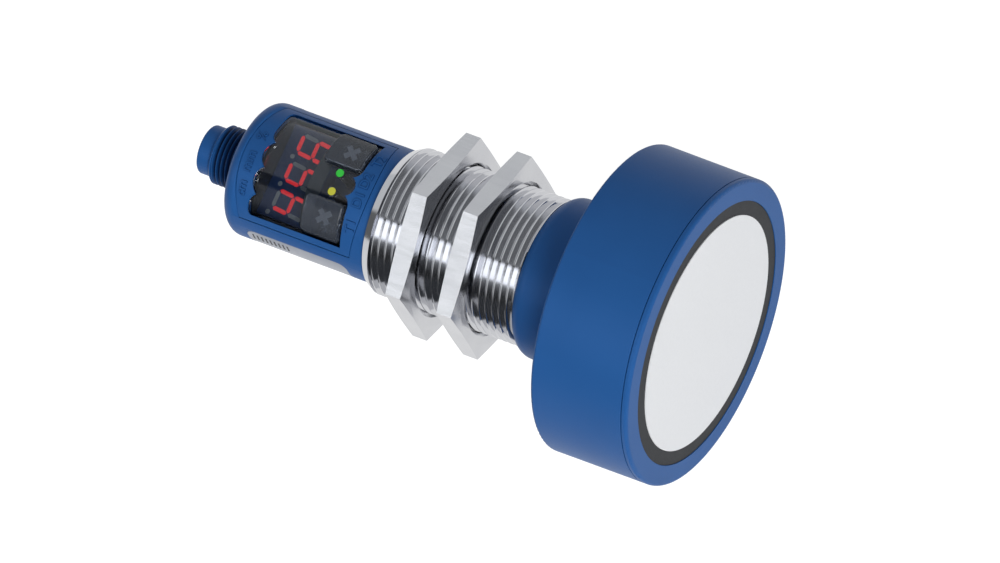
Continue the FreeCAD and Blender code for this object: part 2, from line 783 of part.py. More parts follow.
def round_key_top(name, cap):
    """Take the sharp edge off the top of a key's cap."""
    doc.recompute()
    top = value("key_top_r")
    rounded = []
    for number, edge in enumerate(cap.Shape.Edges, start=1):
        ends = [vertex.Point for vertex in edge.Vertexes]
        if all(abs(math.hypot(end.y, end.z) - top) < TINY for end in ends):
            rounded.append((number, value("key_edge"), value("key_edge")))
    fillet = doc.addObject("Part::Fillet", name)
    fillet.Base = cap
    fillet.Edges = rounded
    return fillet


def make_key(name, side):
    """A smoked key: a curved cap, a flange that stops it under the window and a cross-ribbed plunger."""
    block = curved_plate(name + "_block", key_outline(side, "0"), "key_flange_r", "key_top_r")
    cap = round_key_top(name + "_cap", block)
    rim = key_outline(side, "key_flange")
    flange = curved_plate(name + "_flange", rim, "key_flange_r", "key_flange_top_r")
    middle = "%d * key_side" % side
    ribs = []
    for index, angle in enumerate((45, 135)):
        rib = doc.addObject("Part::Box", "%s_rib_%d" % (name, index + 1))
        bind(rib, Length="rib_span", Width="rib_thick",
             Height="key_flange_r + rib_root - plunger_top - key_drop")
        back = "(rib_span * cos(%d) - rib_thick * sin(%d)) / 2" % (angle, angle)
        left = "(rib_span * sin(%d) + rib_thick * cos(%d)) / 2" % (angle, angle)
        place(rib, "key_mid + " + back, "%s - %s" % (middle, left), "plunger_top",
              FreeCAD.Rotation(FreeCAD.Vector(0, 0, 1), angle))
        ribs.append(rib)
    keep(fuse(name, cap, flange, *ribs), name)


def make_key_parts():
    """Each key with the switch that it presses."""
    for tag, side in (("t1", -1), ("t2", 1)):
        make_key("key_" + tag, side)
        middle = "%d * key_side" % side
        body = chip("switch_body_" + tag, "key_mid", middle, "switch_side", "board_top", "switch_top")
        bore = post("switch_bore_" + tag, "plunger_r + plunger_gap", "key_mid", middle, "switch_bore_low",
                    "switch_top + " + BEYOND)
        keep(cut("key_switch_" + tag, body, bore), "key_switch_" + tag)
        name = "switch_plunger_" + tag
        keep(post(name, "plunger_r", "key_mid", middle, "plunger_low", "plunger_top"), name)


def make_connector():
    """The contact carrier and the five pins of the plug."""
    plug_out = "socket_r - fit_gap"
    carrier = turned("insert_body", [
        ("insert_front", "0"), ("insert_front", "insert_flange_r"), ("inner_wall_back", "insert_flange_r"),
        ("inner_wall_back", plug_out), ("insert_back", plug_out), ("insert_back", "0")])
    spots = [("0", "0")]
    for angle in (45, 135, 225, 315):
        spots.append(("pin_circle_r * cos(%d)" % angle, "pin_circle_r * sin(%d)" % angle))
    holes = []
    for number, (side, height) in enumerate(spots, start=1):
        holes.append(rod("pin_hole_%d" % number, "pin_r + fit_gap / 2", "insert_front - " + BEYOND,
                         "insert_back + " + BEYOND, side, height))
        name = "contact_pin_%d" % number
        keep(rod(name, "pin_r", "insert_front - pin_tail", "nose_back - pin_recess", side, height), name)
    keep(cut("connector_insert", carrier, *holes), "connector_insert")


# Electronics

def make_control_board():
    """The board under the window with the display, the lamps and the light rods."""
    board = slab("control_board", "board_front", "board_back", "board_half", "board_low", "board_top")
    keep(board, "control_board")
    module = slab("display_module", "module_front", "module_back", "module_half", "board_top", "module_top")
    keep(module, "display_module")
    for tag in ("d1", "d2"):
        side = "pipe_side_" + tag
        lamp = chip("status_led_" + tag, "pipe_at", side, "led_side", "board_top", "lamp_top")
        keep(lamp, "status_led_" + tag)
        pipe = post("light_pipe_" + tag, "pipe_r", "pipe_at", side, "lamp_top", "pipe_top")
        keep(pipe, "light_pipe_" + tag)
    for number, step in ((1, -1), (2, 0), (3, 1)):
        name = "unit_led_%d" % number
        keep(chip(name, "screen_back + shroud_play + unit_led_side / 2", "unit_mid + %d * unit_pitch" % step,
                  "unit_led_side", "board_top", "board_top + unit_led_high"), name)


def arch(name, radius, front, back, low):
    """The part of a round bar that rises above a height, as wide as the light shroud."""
    top = doc.addObject("Part::Common", name)
    top.Base = rod(name + "_round", radius, front, back)
    top.Tool = slab(name + "_block", front, back, "shroud_half", low, radius)
    return top


def make_light_shroud():
    """One dark moulding on the board: a box over the lamps, a hollow bridge, two rails and a screen."""
    lamp_box = slab("lamp_box", "lamp_box_front", "lamp_box_back", "lamp_box_half", "board_top", "module_top")
    lamp_room = slab("lamp_room", "lamp_box_front + shroud_wall", "bridge_front",
                     "lamp_box_half - shroud_wall", "board_top - " + BEYOND, "module_top - shroud_wall")
    rails = slab("shroud_rails", "bridge_front", "screen_back", "shroud_half", "board_top",
                 "board_top + shroud_rail_high")
    module_room = slab("module_room", "lamp_box_back", "screen_front", "shroud_half - shroud_rail",
                       "board_top - " + BEYOND, "module_top")
    foot = arch("bridge_foot", "bridge_r", "bridge_front", "lamp_box_back", "board_top")
    bridge = arch("bridge", "bridge_r", "bridge_front", "bridge_back", "module_top - shroud_wall")
    bridge_room = arch("bridge_room", "bridge_r - shroud_rail", "lamp_box_back", "bridge_back - shroud_wall",
                       "module_top - shroud_wall")
    screen = arch("screen", "screen_r", "screen_front", "screen_back", "board_top")
    holes = [post("shroud_hole_" + tag, "pipe_r + fit_gap", "pipe_at", "pipe_side_" + tag, "board_top",
                  "module_top + " + BEYOND) for tag in ("d1", "d2")]
    blank = fuse("shroud_blank", lamp_box, rails, foot, bridge, screen)
    rooms = (module_room, bridge_room, lamp_room)
    keep(cut("light_shroud", blank, *rooms, *holes), "light_shroud")


def make_driver_board():
    """The long board through neck and sleeve, with the parts that pulse the ceramic."""
    board = slab("driver_board", "driver_front", "driver_back", "driver_half", "driver_low", "driver_top")
    keep(board, "driver_board")
    core_top = "driver_top + core_high"
    core = slab("transformer_core", "core_front", "core_back", "core_half", "driver_top", core_top)
    inner_front = "core_front + core_yoke"
    inner_back = "core_back - core_yoke"
    core_window = slab("core_window", inner_front, inner_back, "core_half + " + BEYOND,
                       "driver_top + core_band", core_top + " - core_band")
    coil = rod("transformer_coil", "coil_r", inner_front, inner_back, "0", "driver_top + coil_r")
    frame = cut("core_frame", core, core_window)
    keep(fuse("transformer", frame, coil), "transformer")
    keep(rod("storage_capacitor", "capacitor_r", "capacitor_front", "capacitor_back", "0",
             "driver_top + capacitor_r"), "storage_capacitor")
    chip_top = "driver_top + chip_high"
    controller = slab("microcontroller", "chip_front", "chip_back", "chip_len / 2", "driver_top", chip_top)
    keep(controller, "microcontroller")


def make_ribbon():
    """A flat ribbon from the driver board up to the underside of the control board."""
    body = doc.addObject("PartDesign::Body", "board_ribbon")
    start = "driver_back - ribbon_foot"
    landing = "board_front + ribbon_inset"
    finish = landing + " + ribbon_foot"
    corners = [(start, "driver_top"), ("driver_back", "driver_top"), (landing, "board_low - ribbon_thick"),
               (finish, "board_low - ribbon_thick"), (finish, "board_low"),
               (landing + " - ribbon_lean", "board_low"),
               ("driver_back - ribbon_lean", "driver_top + ribbon_thick"),
               (start, "driver_top + ribbon_thick")]
    sketch = body_sketch(body, "ribbon_profile", "XZ_Plane", from_depths(corners))
    pad = body.newObject("PartDesign::Pad", "ribbon_width")
    pad.Profile = sketch
    pad.Midplane = True
    bind(pad, Length="2 * ribbon_half")
    doc.recompute()
    keep(body, "board_ribbon")


def make_potting():
    """Resin that fills the sleeve round the board between the two spigots."""
    gap = "potting_gap"
    fill = rod("potting_fill", "sleeve_bore_r - fit_gap", "neck_spigot_back + fit_gap",
               "housing_spigot_front - fit_gap")
    low = "driver_low - " + gap
    top = "driver_top + " + gap
    slot = slab("board_slot", "neck_spigot_back", "housing_spigot_front", "driver_half + " + gap, low, top)
    pocket = slab("transformer_pocket", "core_front - " + gap, "core_back + " + gap, "core_half + " + gap,
                  "driver_top", "driver_top + 2 * coil_r + " + gap)
    chip_pocket = slab("chip_pocket", "chip_front - " + gap, "housing_spigot_front", "chip_len / 2 + " + gap,
                       "driver_top", "driver_top + chip_high + " + gap)
    keep(cut("sleeve_potting", fill, slot, pocket, chip_pocket), "sleeve_potting")


def check_model():
    """Stop if an object failed or a finished piece isn't a sound solid."""
    for item in doc.Objects:
        if "Invalid" in item.State or "Error" in item.State:
            raise RuntimeError("%s failed" % item.Name)
    for item in subparts:
        if item.Shape.isNull() or not item.Shape.isValid():
            raise RuntimeError("%s has no sound shape" % item.Label)


def write_parts():
    """Write each finished piece to a file that has its name."""
    os.makedirs("parts", exist_ok=True)
    for item in subparts:
        item.Shape.exportStep("parts/%s.step" % item.Label)
        print("%-22s %d solid, %9.2f mm3" % (item.Label, len(item.Shape.Solids), item.Shape.Volume))


fill_sheet()
make_head()
make_bezel()
make_transducer()
make_sleeve()
make_sealing_ring("front_sleeve_seal", "front_ring_at")
make_sealing_ring("rear_sleeve_seal", "rear_ring_at")
make_nut("nut_front", "front_nut_front")
make_nut("nut_rear", "rear_nut_front")
make_rear_housing()
make_label()
make_display_cover()
make_key_parts()
make_connector()
make_control_board()
make_light_shroud()
make_driver_board()
make_ribbon()
make_potting()
doc.recompute()
check_model()
write_parts()
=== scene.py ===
# %% [markdown]
# # Dressing an ultrasonic distance sensor
#
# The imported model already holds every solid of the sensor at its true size. This lesson gives them
# their finishes, cuts the two screw threads that the solids leave plain, adds the display, the
# markings and the parts seen through the smoked window, and lights it all for a catalogue picture.

import math

import bmesh
import bpy
from mathutils import Matrix, Vector


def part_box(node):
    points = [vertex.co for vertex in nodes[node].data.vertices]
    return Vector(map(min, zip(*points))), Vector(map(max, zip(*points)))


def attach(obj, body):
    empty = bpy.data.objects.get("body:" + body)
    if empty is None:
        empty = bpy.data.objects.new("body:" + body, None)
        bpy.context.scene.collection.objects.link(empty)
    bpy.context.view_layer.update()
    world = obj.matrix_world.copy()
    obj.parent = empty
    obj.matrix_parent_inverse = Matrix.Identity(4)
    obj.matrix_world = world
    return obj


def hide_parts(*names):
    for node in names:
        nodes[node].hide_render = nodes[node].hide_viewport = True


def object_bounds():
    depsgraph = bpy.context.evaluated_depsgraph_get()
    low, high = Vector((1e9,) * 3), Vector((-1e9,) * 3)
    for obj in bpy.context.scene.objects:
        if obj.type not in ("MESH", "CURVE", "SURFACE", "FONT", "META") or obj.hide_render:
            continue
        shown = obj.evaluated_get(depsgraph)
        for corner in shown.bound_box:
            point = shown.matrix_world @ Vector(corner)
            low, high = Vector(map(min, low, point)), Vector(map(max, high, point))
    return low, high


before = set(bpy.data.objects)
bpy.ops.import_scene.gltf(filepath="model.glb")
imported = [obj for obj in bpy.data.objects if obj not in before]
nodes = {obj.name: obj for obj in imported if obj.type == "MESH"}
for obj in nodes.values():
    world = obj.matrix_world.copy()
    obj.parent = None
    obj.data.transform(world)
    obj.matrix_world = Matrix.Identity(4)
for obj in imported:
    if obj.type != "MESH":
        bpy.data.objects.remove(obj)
cad_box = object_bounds()

# %% [markdown]
# ## Sizes that the pieces share
#
# Everything is in metres, and the sensor looks along +X with its display up, so a point that lies
# some millimetres behind the sensing face has a negative X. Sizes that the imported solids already
# hold are read from their boxes, so that the new pieces follow them.

# %% Shared sizes
MM = 0.001
# Points nearer to each other than a thousandth of a millimetre are merged.
MERGE_REACH = 1e-6
ROOT_BODY = "sensor"


def depth(millimetres):
    """The X of a point that many millimetres behind the sensing face."""
    return -millimetres * MM


SLEEVE_LOW, SLEEVE_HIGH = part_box("threaded_sleeve")
BARREL_R = SLEEVE_HIGH.y
HOUSING_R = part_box("rear_housing")[1].y
DISPLAY_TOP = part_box("display_module")[1].z
print("radii in mm: barrel", round(BARREL_R / MM, 2), "housing", round(HOUSING_R / MM, 2))

# %% [markdown]
# ## Small helpers for finishes
#
# A colour is written as the hex code that a paint program shows, and one function turns it into the
# linear numbers that shaders work with. One more adds a node with its settings and its links, which
# keeps each finish short enough to read in one go.

# %% Colour and node helpers


def hue(code):
    """Linear colour from an sRGB hex code."""
    shares = [int(code[start:start + 2], 16) / 255 for start in (1, 3, 5)]
    return [s / 12.92 if s <= 0.04045 else ((s + 0.055) / 1.055) ** 2.4 for s in shares] + [1.0]


def add(tree, kind, inputs=None, **settings):
    """Add a shader node, set it up, and fill its inputs with values or links."""
    node = tree.nodes.new("ShaderNode" + kind)
    for name, setting in settings.items():
        setattr(node, name, setting)
    for name, value in (inputs or {}).items():
        if isinstance(value, bpy.types.NodeSocket):
            tree.links.new(value, node.inputs[name])
        else:
            node.inputs[name].default_value = value
    return node


def new_finish(name):
    """An empty material, its node tree and its output node."""
    material = bpy.data.materials.new(name)
    material.use_nodes = True
    material.node_tree.nodes.clear()
    return material, material.node_tree, add(material.node_tree, "OutputMaterial")


def mottled(tree, place, low, high, grain):
    """A colour that drifts between two hex codes over patches of a real size."""
    noise = add(tree, "TexNoise", {"Vector": place, "Scale": 1 / grain, "Detail": 2.0})
    ramp = add(tree, "ValToRGB", {"Fac": noise.outputs["Fac"]})
    # The noise seldom leaves the middle of its range, so the two colours are set there.
    ramp.color_ramp.elements[0].position = 0.3
    ramp.color_ramp.elements[1].position = 0.7
    ramp.color_ramp.elements[0].color = hue(low)
    ramp.color_ramp.elements[1].color = hue(high)
    return ramp.outputs["Color"]


def between(tree, source, low, high):
    """A number from 0 to 1 spread over another range."""
    return add(tree, "MapRange", {"Value": source, "To Min": low, "To Max": high}).outputs["Result"]


TEXTURE_DEPTH = 0.02 * MM


def simple_finish(name, low, high, grain, roughness, texture=0.0, texture_size=0.4 * MM, **shader):
    """A solid finish with drifting colour, uneven gloss and a fine moulded or cut texture."""
    material, tree, output = new_finish(name)
    place = add(tree, "TexCoord").outputs["Object"]
    noise = add(tree, "TexNoise", {"Vector": place, "Scale": 1 / texture_size, "Detail": 3.0})
    settings = {"Base Color": mottled(tree, place, low, high, grain),
                "Roughness": between(tree, noise.outputs["Fac"], *roughness)}
    if texture:
        bump = add(tree, "Bump", {"Height": noise.outputs["Fac"], "Strength": texture,
                                  "Distance": TEXTURE_DEPTH})
        settings["Normal"] = bump.outputs["Normal"]
    settings.update({key.replace("_", " "): value for key, value in shader.items()})
    surface = add(tree, "BsdfPrincipled", settings)
    tree.links.new(surface.outputs["BSDF"], output.inputs["Surface"])
    return material


def dress(material, *names):
    """Give CAD nodes one finish."""
    for name in names:
        node = nodes[name]
        node.data.materials.clear()
        node.data.materials.append(material)
    print(material.name, "on", ", ".join(names))


# %% [markdown]
# ## Blue housings
#
# Head, bezel, rear housing and display panel are injection moulded from glass-filled polyester, PBT,
# coloured through. A fine spark-eroded mould leaves an even satin skin. A flat blue would look like
# paint, so the colour drifts a little over centimetres and the gloss over tenths of a millimetre.

# %% Satin blue polyester
# Moulded PBT: a soft broad highlight and a faint grain.
blue_pbt = simple_finish("satin_blue_pbt", "#1F528E", "#215592", 14 * MM, (0.36, 0.46),
                         texture=0.25, IOR=1.5, Specular_IOR_Level=0.16)
dress(blue_pbt, "head_housing", "front_bezel", "display_panel")

# %% [markdown]
# ## Sensing face and its seal
#
# The pale disc is a matching layer, epoxy filled with hollow glass beads, ground flat so that sound
# leaves the ceramic behind it evenly. A soft silicone ring holds it and lets it swing. The grinding
# leaves no visible marks at this distance, so the disc only gets a faint speckle of beads.

# %% Matching layer and soft silicone
# Glass-bead epoxy: nearly white, dull, with a fine speckle.
bead_epoxy = simple_finish("bead_filled_epoxy", "#DCDDDF", "#DEDFE1", 0.8 * MM, (0.5, 0.62),
                           texture=0.05, texture_size=0.25 * MM, IOR=1.5)
dress(bead_epoxy, "matching_layer")
# Silicone: dark, dull, a little sheen where it turns away.
grey_silicone = simple_finish("dark_grey_silicone", "#202226", "#26282C", 3 * MM, (0.55, 0.68),
                              texture=0.3, IOR=1.41)
dress(grey_silicone, "face_seal", "front_sleeve_seal", "rear_sleeve_seal")

# %% [markdown]
# ## Nickel-plated brass
#
# Sleeve and nuts are brass, turned and milled, then nickel plated. The plating is a bright mirror
# that keeps the tool's marks: rings round the sleeve, and straight strokes along each flat of a nut.
# The marks are a noise that is squeezed along one axis and drawn out along the other two. Real ones
# are some hundredths of a millimetre apart, too fine for this picture, so they are drawn about five
# times as coarse and very shallow.

# %% Bright nickel plate
TURNING_MARK = 0.3 * MM
MARK_DEPTH = 0.01 * MM
# A mark is this share as fine along itself as across.
MARK_STRETCH = 0.04


def nickel_finish(name, low, high, roughness, mark_strength, mark_axis):
    """Plated metal whose tool marks are bands across one axis."""
    material, tree, output = new_finish(name)
    place = add(tree, "TexCoord").outputs["Object"]
    squeeze = [MARK_STRETCH] * 3
    squeeze[mark_axis] = 1.0
    stretched = add(tree, "Mapping", {"Vector": place, "Scale": squeeze}).outputs["Vector"]
    marks = add(tree, "TexNoise", {"Vector": stretched, "Scale": 1 / TURNING_MARK, "Detail": 2.0})
    bump = add(tree, "Bump", {"Height": marks.outputs["Fac"], "Strength": mark_strength,
                              "Distance": MARK_DEPTH})
    surface = add(tree, "BsdfPrincipled", {
        "Base Color": mottled(tree, place, low, high, 6 * MM), "Metallic": 1.0,
        "Roughness": between(tree, marks.outputs["Fac"], *roughness),
        "Normal": bump.outputs["Normal"]})
    tree.links.new(surface.outputs["BSDF"], output.inputs["Surface"])
    return material


# Turned: rings across X, nearly a mirror. Milled: strokes across Z, a little softer.
ACROSS_X = 0
ACROSS_Z = 2
turned_nickel = nickel_finish("turned_nickel_plate", "#CBCCD0", "#D0D1D5", (0.08, 0.15), 0.1, ACROSS_X)
milled_nickel = nickel_finish("milled_nickel_plate", "#CBCCD0", "#D1D2D5", (0.14, 0.22), 0.25, ACROSS_Z)
dress(milled_nickel, "nut_front", "nut_rear")

# %% [markdown]
# ## Smoked polycarbonate
#
# Window and keys are clear polycarbonate with a grey dye, polished in the mould. Glass in a path
# tracer stops lamps from reaching what lies behind it, so rays on their way to a lamp, and those that
# scatter off the dull parts inside, pass through the same tint without bending. What the eye sees
# still bends and mirrors as in the real lens. Polycarbonate has an IOR of 1.58, and here it is lower,
# because the real lens mirrors as little as one with an anti-glare surface.

# %% Smoked lens and keys


def smoked_finish(name, tint, veil, roughness, ior, clear=1.0):
    """Dyed clear plastic that lets light reach what lies behind it, and may be a little cloudy."""
    material, tree, output = new_finish(name)
    path = add(tree, "LightPath")
    through = add(tree, "Math", {0: path.outputs["Is Shadow Ray"], 1: path.outputs["Is Diffuse Ray"]},
                  operation="MAXIMUM")
    moulded = add(tree, "BsdfPrincipled", {"Base Color": hue(tint), "Transmission Weight": clear,
                                           "Roughness": roughness, "IOR": ior})
    passing = add(tree, "BsdfTransparent", {"Color": hue(veil)})
    mixed = add(tree, "MixShader", {0: through.outputs["Value"], 1: moulded.outputs["BSDF"],
                                    2: passing.outputs["BSDF"]})
    tree.links.new(mixed.outputs["Shader"], output.inputs["Surface"])
    return material


# The lens is polished and hardly tinted, the keys are darker, fine-ground and a little cloudy.
smoked_lens = smoked_finish("smoked_polycarbonate_lens", "#C9CDD2", "#DDE0E3", 0.02, 1.38)
smoked_cap = smoked_finish("smoked_polycarbonate_key", "#7C8492", "#B4BAC2", 0.1, 1.4, clear=0.85)
dress(smoked_lens, "display_window")
dress(smoked_cap, "key_t1", "key_t2")

# %% [markdown]
# ## Electronics and the plug's insides
#
# Most of these parts are hidden, but each still gets the finish of the real one, because the model
# can be cut open or turned round: solder mask with copper showing through in patches, moulded epoxy
# chips, gold-plated pins in a black carrier, amber polyimide ribbon and black potting resin.

# %% Boards, chips, pins and resin
solder_mask = simple_finish("green_solder_mask", "#0D4A2C", "#126038", 2.5 * MM, (0.25, 0.4))
dress(solder_mask, "control_board", "driver_board")
moulded_epoxy = simple_finish("black_moulded_epoxy", "#141415", "#1A1A1C", 1 * MM, (0.45, 0.6), 0.3)
dress(moulded_epoxy, "microcontroller", "key_switch_t1", "key_switch_t2")
black_nylon = simple_finish("black_moulded_nylon", "#18181A", "#1E1E21", 4 * MM, (0.4, 0.52), 0.2)
dress(black_nylon, "connector_insert")
gold_plate = simple_finish("gold_plated_pin", "#D9AE5C", "#E3BC6C", 1 * MM, (0.15, 0.25), Metallic=1.0)
dress(gold_plate, *["contact_pin_%d" % number for number in range(1, 6)])
tinned_copper = simple_finish("tinned_copper_lead", "#B8775A", "#C98A6B", 1 * MM, (0.25, 0.4), Metallic=1.0)
dress(tinned_copper, "transducer_lead_1", "transducer_lead_2")
silvered_ceramic = simple_finish("silvered_ceramic", "#B9B4A6", "#C6C1B4", 2 * MM, (0.4, 0.6), 0.2)
dress(silvered_ceramic, "piezo_disc")
cell_foam = simple_finish("closed_cell_foam", "#4C4C4E", "#626264", 0.9 * MM, (0.85, 0.98), 0.9)
dress(cell_foam, "backing_foam")
sintered_ferrite = simple_finish("sintered_ferrite", "#26262A", "#303034", 1 * MM, (0.5, 0.7), 0.4)
dress(sintered_ferrite, "transformer")
sleeved_can = simple_finish("sleeved_capacitor_can", "#1C2030", "#24293C", 3 * MM, (0.3, 0.4))
dress(sleeved_can, "storage_capacitor")
white_acetal = simple_finish("white_acetal", "#D9D9D5", "#E2E2DE", 2 * MM, (0.35, 0.5))
dress(white_acetal, "switch_plunger_t1", "switch_plunger_t2")
amber_film = simple_finish("amber_polyimide_film", "#A8641C", "#B87426", 2 * MM, (0.2, 0.35), Coat_Weight=0.5)
dress(amber_film, "board_ribbon")
potting_resin = simple_finish("black_potting_resin", "#16161A", "#1D1D21", 5 * MM, (0.2, 0.45), 0.3)
dress(potting_resin, "sleeve_potting")
lamp_resin = simple_finish("clear_lamp_resin", "#CFCDBE", "#DAD8CA", 0.5 * MM, (0.2, 0.35), Coat_Weight=0.6)
dress(lamp_resin, "status_led_d1", "status_led_d2", "unit_led_1", "unit_led_2", "unit_led_3")

# %% [markdown]
# ## Display module, shroud and light rods
#
# The module is black moulded plastic behind a dark blue filter. A dark moulded shroud fills the
# window round the digits and lamps. Its tone steps in zones along the sensor, painted light and shade
# on its walls and floors: one ramp with hard steps, so that each tone stays on its part. Each light
# rod is a clear acrylic post in a dark jacket, lit from the board below, so only its upper end glows.
# The finish reads how high a point is on the rod and turns from jacket to glow just under the top.

# %% Filter face, shroud and light rods
filter_face = simple_finish("dark_blue_filter", "#1E3862", "#213C67", 5 * MM, (0.25, 0.35))
dress(filter_face, "display_module")

# Moulded dark ABS. Its tone steps along the sensor, darker round the digits, lighter just before the
# lamps and navy over them: painted light and shade. Each zone starts a number of millimetres behind
# the sensing face and ends where the next one starts.
SHROUD_SPAN = (95.0, 73.0)
SHROUD_ZONES = ((95.0, "#303436"), (93.8, "#2C3036"), (84.2, "#3C464E"), (81.3, "#264268"))
GLOW_DEEP = 0.02 * MM
shroud_painted_light_and_shade, tree, output = new_finish("dark_abs_painted_light_and_shade")
shroud_x = add(tree, "SeparateXYZ", {"Vector": add(tree, "TexCoord").outputs["Object"]}).outputs["X"]
along = add(tree, "MapRange", {"Value": shroud_x, "From Min": depth(SHROUD_SPAN[0]),
                               "From Max": depth(SHROUD_SPAN[1])}).outputs["Result"]
zones = add(tree, "ValToRGB", {"Fac": along})
zones.color_ramp.interpolation = "CONSTANT"
for number, (behind, code) in enumerate(SHROUD_ZONES):
    place = (SHROUD_SPAN[0] - behind) / (SHROUD_SPAN[0] - SHROUD_SPAN[1])
    stop = zones.color_ramp.elements[0] if number == 0 else zones.color_ramp.elements.new(place)
    stop.color = hue(code)
# The ramp came with a stop at its far end, which would colour the last point.
zones.color_ramp.elements.remove(zones.color_ramp.elements[-1])
moulding = add(tree, "BsdfPrincipled", {"Base Color": zones.outputs["Color"], "Roughness": 0.14})
tree.links.new(moulding.outputs["BSDF"], output.inputs["Surface"])
dress(shroud_painted_light_and_shade, "light_shroud")


def rod_finish(name, glow, top):
    """A jacketed light rod that glows at its top."""
    material, tree, output = new_finish(name)
    place = add(tree, "TexCoord").outputs["Object"]
    height = add(tree, "SeparateXYZ", {"Vector": place}).outputs["Z"]
    lit = add(tree, "Math", {0: height, 1: top - GLOW_DEEP}, operation="GREATER_THAN").outputs["Value"]
    jacket = add(tree, "BsdfPrincipled", {
        "Base Color": mottled(tree, place, "#3A3B3C", "#464748", 0.7 * MM), "Roughness": 0.35})
    shine = add(tree, "Emission", {"Color": hue(glow), "Strength": 1.0})
    mixed = add(tree, "MixShader", {0: lit, 1: jacket.outputs["BSDF"], 2: shine.outputs["Emission"]})
    tree.links.new(mixed.outputs["Shader"], output.inputs["Surface"])
    return material


dress(rod_finish("yellow_light_rod", "#B6B642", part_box("light_pipe_d1")[1].z), "light_pipe_d1")
dress(rod_finish("green_light_rod", "#3AB545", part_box("light_pipe_d2")[1].z), "light_pipe_d2")

# %% [markdown]
# ## The label
#
# A satin aluminium foil is wrapped round the underside of the housing. Rolled foil has a soft, even
# gloss, so it is part metal and part lacquer. A later cell prints a plain row of ticks on it.

# %% Satin foil
satin_foil = simple_finish("satin_aluminium_foil", "#A2A6B0", "#ABAFB9", 4 * MM, (0.32, 0.42),
                           texture=0.2, Metallic=0.6)
dress(satin_foil, "type_label")

# %% [markdown]
# ## Helpers for new pieces
#
# Each new piece starts as a bmesh, shaped by the same tools as in the editor: spin, extrude,
# bisect and bridge. When it is finished its doubles are merged, its normals are made to point
# outwards, it gets a finish and a material slot, and it rides on the body that carries it. Letters
# and ticks come out clean and skip the first two steps. A piece that stands for a solid also gets
# weighted normals, which keep its large faces evenly shaded.

# %% Piece helpers
# Edges that fold by more degrees than this stay sharp.
SHARP_ANGLE = 35


def finish_piece(name, shape, material, body=ROOT_BODY, replaced=(), tidy=True, sharp=SHARP_ANGLE,
                 more=()):
    """Turn a bmesh into a piece that rides on a body; more finishes follow the first in its slots."""
    if tidy:
        bmesh.ops.remove_doubles(shape, verts=shape.verts, dist=MERGE_REACH)
        bmesh.ops.recalc_face_normals(shape, faces=shape.faces)
    mesh = bpy.data.meshes.new(name)
    shape.to_mesh(mesh)
    open_edges = sum(edge.is_boundary for edge in shape.edges)
    shape.free()
    for finish in (material, *more):
        mesh.materials.append(finish)
    mesh.shade_smooth()
    mesh.set_sharp_from_angle(angle=math.radians(sharp))
    piece = bpy.data.objects.new(name, mesh)
    bpy.context.scene.collection.objects.link(piece)
    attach(piece, body)
    if replaced:
        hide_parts(*replaced)
        shading = piece.modifiers.new("even_shading", "WEIGHTED_NORMAL")
        shading.keep_sharp = True
    print(name, len(mesh.vertices), "vertices", len(mesh.polygons), "faces", open_edges, "open edges")


def chain(shape, points):
    """Join points (x, radius) above the axis by edges."""
    verts = [shape.verts.new((x, 0, radius)) for x, radius in points]
    edges = [shape.edges.new(pair) for pair in zip(verts, verts[1:])]
    return verts + edges


def rim_edges(shape, x, reach=1e-5):
    """Open edges that lie in the plane at x."""
    return [edge for edge in shape.edges
            if edge.is_boundary and all(abs(vert.co.x - x) < reach for vert in edge.verts)]


# %% [markdown]
# ## Screw threads
#
# A thread is one ridge that climbs round the bar by its pitch in each turn. Spinning the thread's
# side profile once round the axis, while it creeps one pitch along it, makes the end of each ridge
# meet the start of the next, so all turns join into one true helix. Two cuts then trim it square.
# The profile follows the metric one: a flat crest an eighth of the pitch wide, and a narrow root with
# broken corners. The flanks stand at 58 degrees to each other and not at 60, and the groove is a
# little deeper, which shows the dark band between two crests as clearly as on the real sleeve.

# %% Thread profile and spin
# How far along one pitch each corner of the profile lies, and how deep, both as shares of the pitch.
THREAD_TURN = ((0.065, 0.0), (0.4375, 0.677), (0.47, 0.705), (0.53, 0.705), (0.5625, 0.677), (0.935, 0.0))
TURN_STEPS = 192
# Whole turns added beyond both ends, so that the cuts always find thread to cut.
SPARE_TURNS = 3


def thread_skin(shape, pitch, crest_r, front, back):
    """Add a right-hand thread between two depths, open at both ends."""
    turns = math.ceil((front - back) / pitch) + SPARE_TURNS
    start = front + pitch
    points = [(start - (turn + along) * pitch, crest_r - down * pitch)
              for turn in range(turns) for along, down in THREAD_TURN]
    bmesh.ops.spin(shape, geom=chain(shape, points), cent=(0, 0, 0), axis=(1, 0, 0),
                   dvec=(-pitch / TURN_STEPS, 0, 0), angle=-2 * math.pi, steps=TURN_STEPS, use_merge=False)
    bmesh.ops.remove_doubles(shape, verts=shape.verts, dist=MERGE_REACH)
    for plane, direction in ((front, 1), (back, -1)):
        bmesh.ops.bisect_plane(shape, geom=shape.verts[:] + shape.edges[:] + shape.faces[:],
                               plane_co=(plane, 0, 0), plane_no=(direction, 0, 0), clear_outer=True)


# %% [markdown]
# ## The threaded sleeve
#
# The solid sleeve is plain at crest size, because a thread would slow every check. Here the real
# M30 x 1.5 thread takes its place. It runs from the neck to a plain lead-in cone at the rear end,
# and the bore inside stays where the solid has it.

# %% M30 x 1.5 sleeve
SLEEVE_PITCH = 1.5 * MM
LEAD_IN = 1.6 * MM
LEAD_DROP = 0.8 * MM
LEAD_EDGE = 0.02 * MM
FRONT_DROP = 0.6 * MM
SLEEVE_BORE_R = BARREL_R - 2.0 * MM
JOINT_GAP = 0.12 * MM
SLEEVE_SHARP = 25

thread_front = SLEEVE_HIGH.x - JOINT_GAP
thread_back = SLEEVE_LOW.x + LEAD_IN + JOINT_GAP
sleeve = bmesh.new()
thread_skin(sleeve, SLEEVE_PITCH, BARREL_R, thread_front, thread_back)
